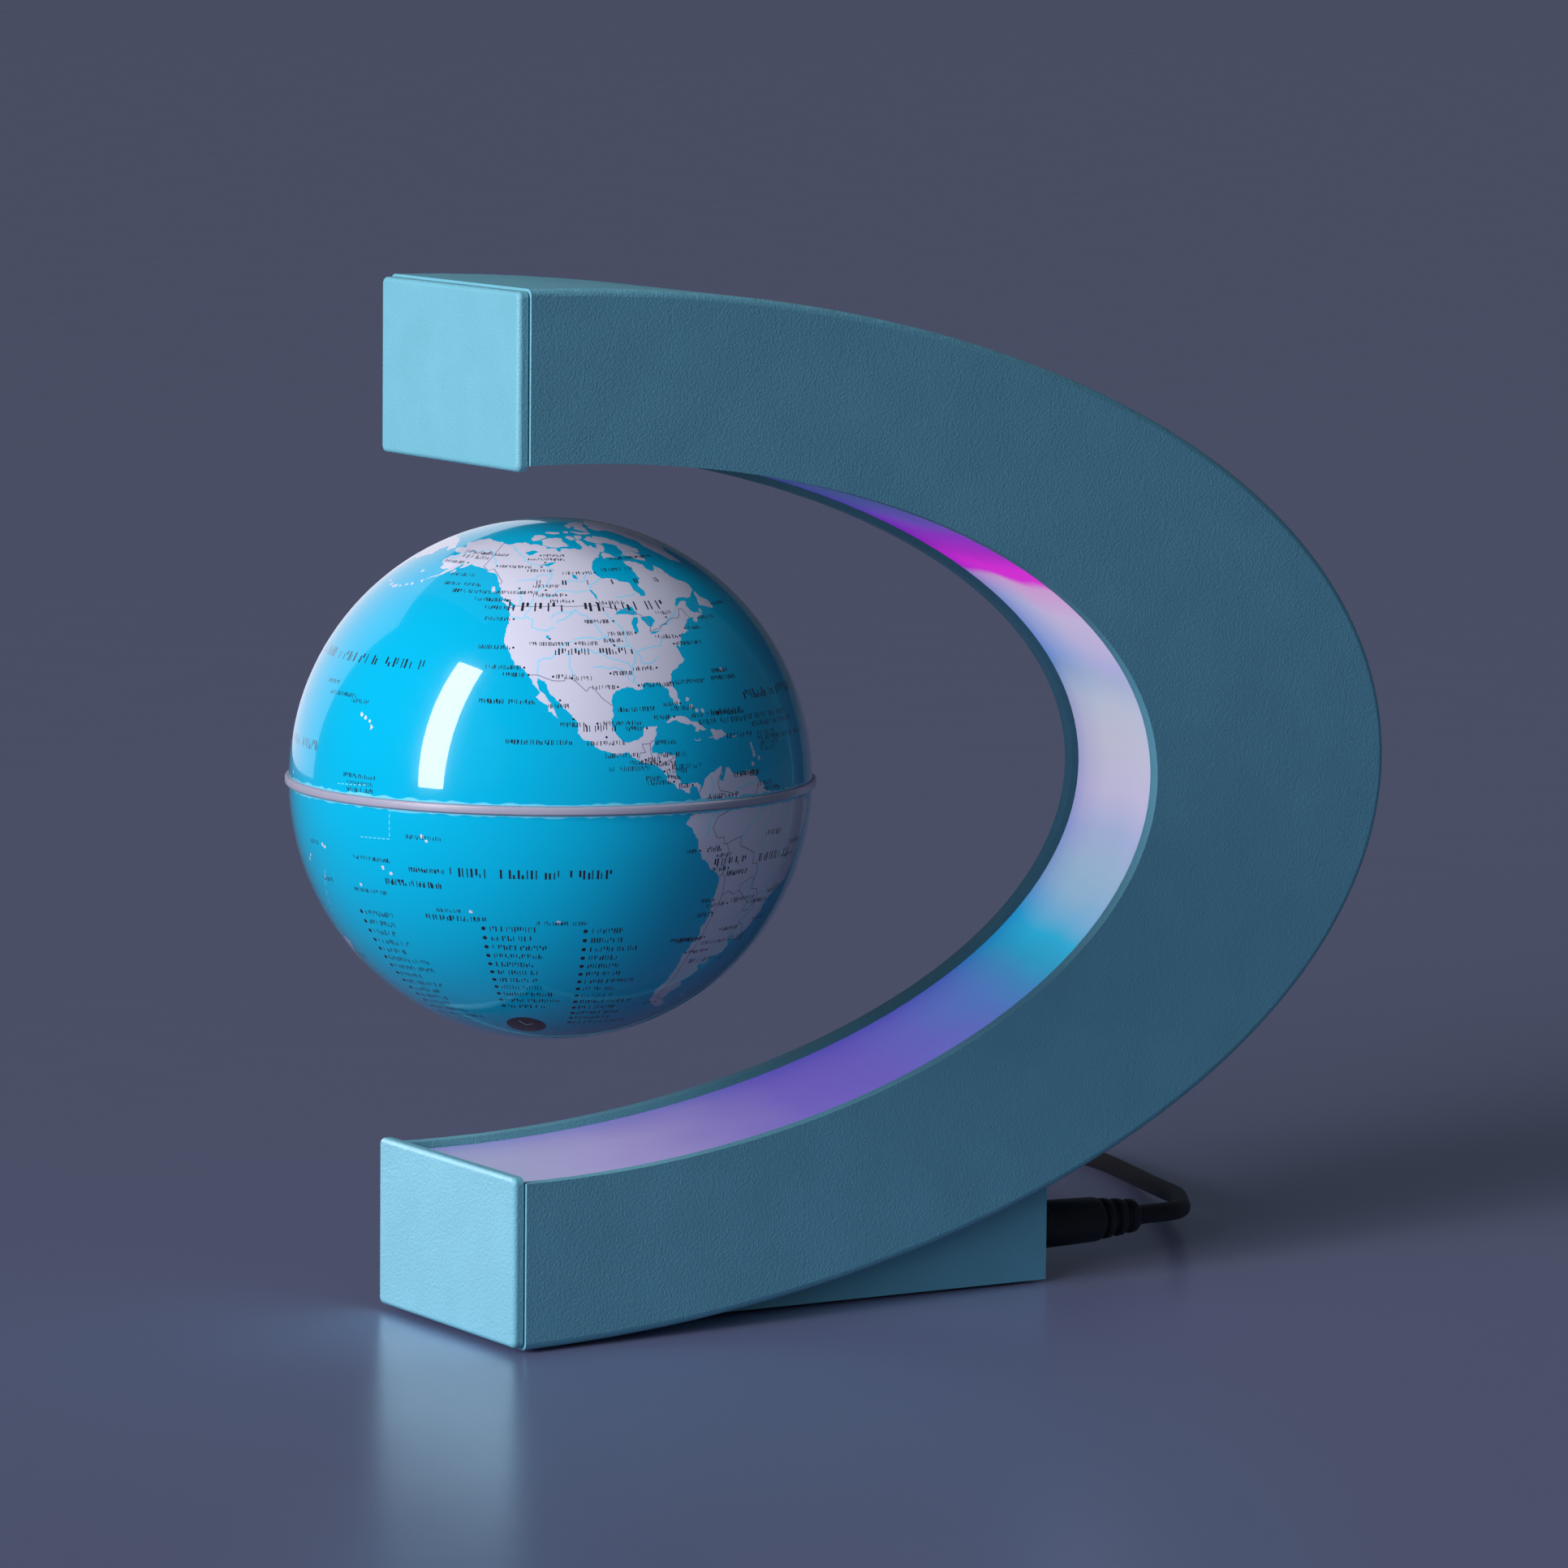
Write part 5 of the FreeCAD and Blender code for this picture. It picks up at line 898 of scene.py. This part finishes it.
def print_names():
    """Strokes beside the cities' dots, across the lands and seas, and in the lists in the southern ocean.
    A dot may say on which side its name stands, 1 right, -1 left, 2 above or 0 below, and its letters."""
    rng = random.Random(7)
    strokes = []
    for lon, lat, *label in outlines(DOTS)[0]:
        side, letters = label or (rng.choice((1, -1)), rng.randint(4, 9))
        length = letters * CITY_PITCH
        east = {1: 0.6, -1: -0.6 - length, 0: -length / 2, 2: -length / 2}[side]
        north = {0: -1.2, 2: 1.2}.get(side, 0.0)
        start = lon + east / math.cos(math.radians(lat))
        strokes += marks(start, lat + north, CITY_SIZE, CITY_PITCH, [letters], rng)
    for lon, lat, size, pitch, *words in outlines(NAMES)[0]:
        strokes += marks(lon, lat, size, pitch, words, rng)
    for lon, lat, rows in LISTS:
        for row in range(rows):
            level = lat - LIST_ROW * row
            strokes.append((DOT, blot((lon - 1.6, level), 0.5, 10)))
            strokes += marks(lon, level, LIST_SIZE, LIST_PITCH, [rng.randint(6, 10)], rng)
    return strokes


def print_regions():
    """The print's regions as (kind, outline), in longitude and latitude."""
    rng = random.Random(20)
    regions = [(kind, roughen(line, wander, rng, closed=True))
               for kind, text, wander in ((LAND, COASTS, 0.16), (LAKE, LAKES, 0.12))
               for line in outlines(text)]
    regions += [(kind, piece)
                for kind, text, wander, width in ((RIVER, RIVERS, 0.2, 0.30), (BORDER, BORDERS, 0.03, 0.17))
                for line in outlines(text) for piece in ribbon(roughen(line, wander, rng), width)]
    regions += [(DOT, blot(spot, 0.26, 8)) for spot in outlines(DOTS)[0]]
    regions += [(LAND, blot(spot, 0.45, 7, rng)) for spot in outlines(ISLETS)[0]]
    regions += [(ROUTE, piece) for ends in ROUTES for piece in dashes(*ends, 7, 0.16)]
    return regions + print_names()


def flat(lon, lat, pole):
    """A point's place in the flat map around its pole."""
    reach = PRINT_STRETCH[pole] * (90 - pole * lat) * DEGREE
    turn = math.radians(lon - PRINT_TURN)
    return Vector((reach * math.cos(turn), reach * math.sin(turn)))


def inset_disc(centre, radius):
    """The outline of the small dark disc in the flat map, and its two light hands."""
    east = Vector((-centre.y, centre.x)).normalized()
    out = centre.normalized()
    spots = [centre + (east * math.cos(t) + out * math.sin(t)) * radius
             for t in (2 * math.pi * k / 40 for k in range(40))]
    shapes = [(DISC, spots)]
    for turn, reach in ((118, 0.62), (28, 0.42)):
        t = math.radians(turn)
        along = east * math.cos(t) + out * math.sin(t)
        side = Vector((-along.y, along.x)) * 0.035 * radius
        tip = centre + along * reach * radius
        shapes.append((HAND, [centre - side, tip - side, tip + side, centre + side]))
    return shapes


def print_edge(rim, rng):
    """Pieces of a thin worn band where the foil's trimmed edge has gone pale."""
    count = 240
    depth = [rng.uniform(0.15, 0.75) * DEGREE for _ in range(count)]
    spots = [Vector((math.cos(2 * math.pi * k / count), math.sin(2 * math.pi * k / count)))
             for k in range(count)]
    past = rim + 0.01
    pieces = []
    for k in range(count):
        n = (k + 1) % count
        a, b = spots[k], spots[n]
        pieces.append((EDGE, [a * (rim - depth[k]), b * (rim - depth[n]), b * past, a * past]))
    return pieces


def inside(spots, outline):
    """Which of the spots, an array of flat points, lie inside an outline of any shape."""
    ring = np.array([tuple(p) for p in outline])
    low, high = ring.min(axis=0), ring.max(axis=0)
    near = np.nonzero(((spots >= low) & (spots <= high)).all(axis=1))[0]
    result = np.zeros(len(spots), bool)
    x, y = spots[near, 0], spots[near, 1]
    odd = np.zeros(len(near), bool)
    for (ax, ay), (bx, by) in zip(ring, np.roll(ring, -1, axis=0)):
        if ay != by:
            odd ^= ((ay > y) != (by > y)) & (x < ax + (y - ay) * (bx - ax) / (by - ay))
    result[near] = odd
    return result


def cut_map(pole):
    """Triangles of the flat map around a pole, cut along every printed line: points, faces and kinds."""
    rng = random.Random(31 + pole)
    rim = (90 - math.degrees(math.asin(RING_HALF / GLOBE_RADIUS))) * DEGREE
    shapes = [(None, [Vector((rim * math.cos(t), rim * math.sin(t)))
                      for t in (2 * math.pi * k / 256 for k in range(256))])]
    for kind, outline in REGIONS:
        if max(pole * lat for lon, lat in outline) > -1.0:
            shapes.append((kind, [flat(lon, lat, pole) for lon, lat in outline]))
    if pole < 0:
        turn = math.radians(DISC_LON - PRINT_TURN)
        disc = Vector((math.cos(turn), math.sin(turn)))
        shapes += inset_disc(disc * DISC_REACH * DEGREE, DISC_RADIUS * DEGREE)
    shapes += print_edge(rim, rng)
    points, edges, rings, ring_kinds, areas = [], [], [], [], []
    for kind, outline in shapes:
        size = sum(a.x * b.y - a.y * b.x for a, b in zip(outline, outline[1:] + outline[:1]))
        if size < 0:
            outline = outline[::-1]
        corners = list(range(len(points), len(points) + len(outline)))
        points += outline
        if kind in (LAND, LAKE):
            edges += zip(corners, corners[1:] + corners[:1])
            areas.append((kind, outline))
        else:
            rings.append(corners)
            ring_kinds.append(kind)
    step = GRID_STEP * DEGREE
    rows = int(1 / step) + 1
    for j in range(-rows, rows + 1):
        for i in range(-rows, rows + 1):
            spot = Vector(((i + 0.5 * (j % 2)) * step, j * step * 0.866))
            if spot.length < rim - 0.4 * step:
                points.append(spot)
    made, _, faces, _, _, sources = delaunay_2d_cdt(points, edges, rings, 0, 1e-6, True)
    kept = [(face, source) for face, source in zip(faces, sources) if 0 in source]
    middles = np.array([tuple(sum((made[i] for i in face), Vector((0, 0))) / len(face)) for face, _ in kept])
    kinds = np.zeros(len(kept), int)
    for kind, outline in areas:
        kinds[inside(middles, outline) & (kinds < kind)] = kind
    lines = [max((ring_kinds[s] for s in source if s), default=OCEAN) for _, source in kept]
    return made, [face for face, _ in kept], np.maximum(kinds, lines).tolist()


def on_globe(spot, pole):
    """A point of the flat map on the globe, around its middle."""
    down = math.radians(spot.length / DEGREE)
    turn = math.atan2(spot.y, spot.x)
    across = math.sin(down)
    return Vector((across * math.cos(turn), across * math.sin(turn), pole * math.cos(down))) * GLOBE_RADIUS


def half_globe(name, pole, node, centre):
    """One printed hemisphere: the print's triangles outside, a plain skin inside, and the edge between."""
    points, faces, kinds = cut_map(pole)
    used = sorted({i for face in faces for i in face})
    index = {old: new for new, old in enumerate(used)}
    verts = [on_globe(points[i], pole) for i in used]
    faces = [[index[i] for i in (face if pole > 0 else face[::-1])] for face in faces]
    rim = max(points[i].length for i in used)
    edge = sorted((math.atan2(points[i].y, points[i].x), index[i]) for i in used
                  if points[i].length > rim - 1e-4)
    inner = GLOBE_RADIUS - GLOBE_WALL
    lowest = math.asin(RING_HALF / inner)
    rings = [[i for _, i in edge]]
    layers = 14
    for k in range(layers):
        rise = lowest + (math.pi / 2 - lowest) * k / layers
        c, s = math.cos(rise), math.sin(rise)
        rings.append(list(range(len(verts), len(verts) + len(edge))))
        verts += [Vector((c * math.cos(t), c * math.sin(t), pole * s)) * inner for t, _ in edge]
    top = len(verts)
    verts.append(Vector((0, 0, pole * inner)))
    closing = []
    for low, high in zip(rings, rings[1:]):
        for i in range(len(low)):
            j = (i + 1) % len(low)
            a, b = (j, i) if pole > 0 else (i, j)
            closing.append([low[a], low[b], high[b], high[a]])
    for i in range(len(high)):
        j = (i + 1) % len(high)
        a, b = (j, i) if pole > 0 else (i, j)
        closing.append([high[a], high[b], top])
    obj = new_mesh(name, [v + centre for v in verts], faces + closing)
    mesh = obj.data
    for kind, _ in PRINT:
        mesh.materials.append(PRINTED[kind])
    mesh.materials.append(FINISHES["globe_print"])
    mesh.polygons.foreach_set("material_index", kinds + [len(PRINT)] * len(closing))
    normals = []
    for polygon in mesh.polygons:
        for corner in polygon.vertices:
            out = mesh.vertices[corner].co - centre
            if polygon.index < len(faces):
                normals.append(out.normalized())
            elif polygon.index < len(faces) + len(edge):
                normals.append(Vector((0, 0, -pole)))
            else:
                normals.append(-out.normalized())
    mesh.normals_split_custom_set(normals)
    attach(obj, "globe")
    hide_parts(node)
    return obj


def printed(name, shade):
    """Glossy printed foil: a hard clear coat that is not quite flat."""
    finish = Finish(name, shade, 0.2, Coat_Weight=1.0, Coat_Roughness=0.03, Coat_IOR=1.4,
                    Specular_IOR_Level=0.1)
    finish.shine(finish.noise(1.5 * MM, 4), 0.12, 0.24)
    finish.bump(finish.noise(9 * MM, 2), 0.06 * MM)
    finish.bump(finish.noise(0.5 * MM, 2), 0.0008 * MM)
    return finish.material


REGIONS = print_regions()
PRINTED = {name: printed(name, shade) for name, shade in PRINT}
RING_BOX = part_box("equator_ring")
GLOBE_CENTRE = (RING_BOX[0] + RING_BOX[1]) / 2
halves = [half_globe("globe_north", 1, "upper_hemisphere", GLOBE_CENTRE),
          half_globe("globe_south", -1, "lower_hemisphere", GLOBE_CENTRE)]
flagged(haze, halves, "INCLUDE")
flagged(frame["nodes"]["led_diffuser"], [*halves, frame["nodes"]["c_shell"]])


def seam_ring():
    """The grey ring between the hemispheres: a rounded band outside, and a lip inside each half."""
    outside, bore, lip_radius, lip = 43.1, 39.6, 40.9, 2.2    # all sizes in mm
    band, soft = 0.71, 0.42
    profile = [(-band - lip, bore), (-band - lip, lip_radius), (-band, lip_radius), (-band, outside - soft)]
    for k in range(1, 7):
        t = math.pi / 2 * k / 7
        profile.append((-band + soft * (1 - math.cos(t)), outside - soft + soft * math.sin(t)))
    profile += [(-along, radius) for along, radius in reversed(profile)]
    place = Matrix.Translation(GLOBE_CENTRE) @ Matrix.Rotation(-math.pi / 2, 4, "Y")
    obj = lathe("seam_ring", lambda k: [(a * MM, r * MM) for a, r in profile], place, 240)
    obj.data.materials.append(FINISHES["ring_grey"])
    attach(obj, "globe")
    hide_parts("equator_ring")


seam_ring()


# ---- the cord and its plugs -----------------------------------------------------------------------------

CORD_RADIUS = 1.65 * MM
COIL_CENTRE = Vector((36.0, 66.0)) * MM
COIL_OUTER, COIL_INNER = 25.2 * MM, 11.8 * MM
COIL_DIP = 1.6 * MM             # how much narrower the turn that climbs grows
COIL_START = 117.0              # where the coil starts, in degrees
COIL_TURNS, COIL_STEPS = 4, 16  # turns in each layer, and control points in each turn

# From the back of the power plug, down to the table and round to the coil behind the stand.
POWER_ROUTE = [
    (58.1, 0, 8.0), (65.0, 0.4, 7.9), (71.2, 5.5, 7.2), (77.0, 15.0, 6.2), (84.8, 27.0, 4.9),
    (90.5, 40.0, 3.5), (96.2, 54.0, 2.3), (101.0, 68.0, 1.65), (104.2, 82.5, 1.65), (103.4, 97.0, 1.65),
    (95.0, 108.5, 1.65), (82.0, 113.0, 1.65), (67.5, 110.5, 1.65), (53.0, 104.0, 1.65),
    (38.5, 96.0, 1.65), (24.56, 88.45, 1.65)]
# From the coil to the back of the USB plug.
TAIL_ROUTE = [(18.2, 83.8, 4.95), (11.5, 77.3, 4.6), (5.0, 71.9, 4.2), (-2.0, 67.0, 4.0)]


def coil_points():
    """Control points of the coil's turns: a layer wound inwards on the table, one turn that climbs, and a
    layer wound outwards on top of it."""
    points = []
    outwards = 1 / math.cos(math.pi / COIL_STEPS)  # the curve runs inside its control points
    low, high = CORD_RADIUS, 3 * CORD_RADIUS
    last = COIL_TURNS + 0.05
    total = int((COIL_TURNS + 1 + last) * COIL_STEPS)
    for k in range(1, total):
        turns = k / COIL_STEPS
        if turns < COIL_TURNS:
            radius = COIL_OUTER + (COIL_INNER - COIL_OUTER) * turns / COIL_TURNS
            height = low
        elif turns < COIL_TURNS + 1:
            part = turns - COIL_TURNS
            radius = COIL_INNER - COIL_DIP * math.sin(math.pi * part)
            height = low + (high - low) * part
        else:
            part = (turns - COIL_TURNS - 1) / last
            radius = COIL_INNER + (COIL_OUTER - COIL_INNER) * part
            height = high
        angle = math.radians(COIL_START + 360 * turns)
        spot = COIL_CENTRE + Vector((math.cos(angle), math.sin(angle))) * radius * outwards
        points.append((spot.x, spot.y, height))
    return points


def power_cord():
    """The lead from plug to plug, as one curve."""
    points = [Vector(p) * MM for p in POWER_ROUTE] + coil_points() + [Vector(p) * MM for p in TAIL_ROUTE]
    curve = bpy.data.curves.new("power_lead", "CURVE")
    curve.dimensions = "3D"
    curve.bevel_depth = CORD_RADIUS
    curve.bevel_resolution = 7
    curve.resolution_u = 10
    spline = curve.splines.new("NURBS")
    spline.points.add(len(points) - 1)
    for point, spot in zip(spline.points, points):
        point.co = (*spot, 1.0)
    spline.order_u = 3
    spline.use_endpoint_u = True
    obj = bpy.data.objects.new("power_lead", curve)
    bpy.context.scene.collection.objects.link(obj)
    curve.materials.append(FINISHES["cord_black"])
    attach(obj, "root")
    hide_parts("power_cord", "power_cord_coil", "power_cord_tail")
    return obj


FOOT_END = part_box("dc_plug")[0].x
JACK_LEVEL = 8.0 * MM
USB_PLACE = Matrix.Translation(Vector((-2.0, 67.0, 4.0)) * MM) @ Matrix.Rotation(math.radians(215), 4, "Z")


def barrel_plug():
    """The moulded grip in the jack: a knurled end, a slight taper, and three collars before the cord."""
    knurl, rows, row, body = 0.14, 7, 0.62, 4.1    # the knurl's depth, rows and pitch, the body's radius
    profile = [(0.0, 1.0), (0.0, 3.9), (0.25, body)]
    grooved = set()                                # the profile points that the knurl's grooves cut
    for k in range(rows):
        start = 0.5 + k * row
        grooved |= {len(profile) + 1, len(profile) + 2}
        profile += [(start, body - knurl), (start + 0.08, body),
                    (start + row - 0.2, body), (start + row - 0.12, body - knurl)]
    profile += [(5.2, 4.08), (10.0, 3.98), (15.3, 3.82), (16.0, 3.7), (16.3, 3.4)]
    for start, radius in ((17.0, 3.5), (19.6, 3.25), (22.2, 2.95)):
        profile += [(start - 0.12, 2.3), (start + 0.05, radius - 0.3), (start + 0.3, radius),
                    (start + 1.3, radius - 0.1), (start + 1.7, radius - 0.45), (start + 1.82, 2.3)]
    profile += [(24.5, 1.9), (24.5, 1.0)]

    def at(k):
        cut = grooved if k % 4 == 0 else ()
        return [(a * MM, (r - knurl if i in cut else r) * MM) for i, (a, r) in enumerate(profile)]

    obj = lathe("barrel_plug", at, Matrix.Translation((FOOT_END, 0, JACK_LEVEL)), 128)
    obj.data.materials.append(FINISHES["plug_black"])
    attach(obj, "root")
    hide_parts("dc_plug")


def usb_plug():
    """The moulded grip of the USB plug: four collars, then a flat body with rounded edges, a shallow dish in
    each face for the thumb, and ribs along its sides."""
    # along, half width, half height, squareness of the section; 2 is round
    sections = [(0.0, 2.0, 2.0, 2)]
    for k in range(4):
        start, radius = 0.4 + 2.1 * k, 2.45 + 0.22 * k
        sections += [(start, 2.0, 2.0, 2), (start + 0.1, radius, radius, 2),
                     (start + 1.2, radius + 0.1, radius + 0.1, 2), (start + 1.35, 2.05, 2.05, 2)]
    sections += [(8.5, 2.3, 2.2, 2), (8.6, 5.4, 2.9, 5), (8.9, 6.4, 3.4, 5), (9.6, 7.1, 3.7, 6),
                 (10.6, 7.5, 3.8, 6)]
    for k in range(6):
        start = 12.4 + 1.5 * k
        sections += [(start + step, wide, 3.8, 6)
                     for step, wide in ((0.0, 7.6), (0.2, 7.25), (0.7, 7.25), (0.9, 7.6))]
    sections += [(28.8, 7.6, 3.8, 6), (29.7, 7.3, 3.6, 6), (30.0, 6.9, 3.3, 6), (30.0, 5.4, 2.0, 6)]
    around = 72
    verts, faces = [], []
    for along, wide, high, square in sections:
        for k in range(around):
            turn = 2 * math.pi * k / around
            c, s = math.cos(turn), math.sin(turn)
            y = wide * math.copysign(abs(c) ** (2 / square), c)
            z = high * math.copysign(abs(s) ** (2 / square), s)
            if 11 < along < 28:    # the dish: 15 mm long, 10 mm wide and 0.45 mm deep
                reach = ((along - 19.5) / 7.5) ** 2 + (y / 5.0) ** 2
                z -= math.copysign(0.45 * max(0.0, 1 - reach) ** 0.5, z)
            verts.append(USB_PLACE @ (Vector((along, y, z)) * MM))
    for n in range(len(sections) - 1):
        for k in range(around):
            after = (k + 1) % around
            faces.append((n * around + k, n * around + after, (n + 1) * around + after, (n + 1) * around + k))
    faces += [tuple(reversed(range(around))), tuple(range(len(verts) - around, len(verts)))]
    obj = new_mesh("usb_plug", verts, faces)
    bevel = obj.modifiers.new("soft", "BEVEL")
    bevel.width = 0.08 * MM
    bevel.limit_method = "ANGLE"
    obj.data.materials.append(FINISHES["plug_black"])
    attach(obj, "root")
    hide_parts("usb_grip")


cord = power_cord()
barrel_plug()
usb_plug()


# ---- carried-over parts ---------------------------------------------------------------------------------

for name, node in frame["nodes"].items():
    for held in node.material_slots:
        key = held.material.name.split(".")[0] if held.material else ""
        if key in FINISHES:
            held.material = FINISHES[key]
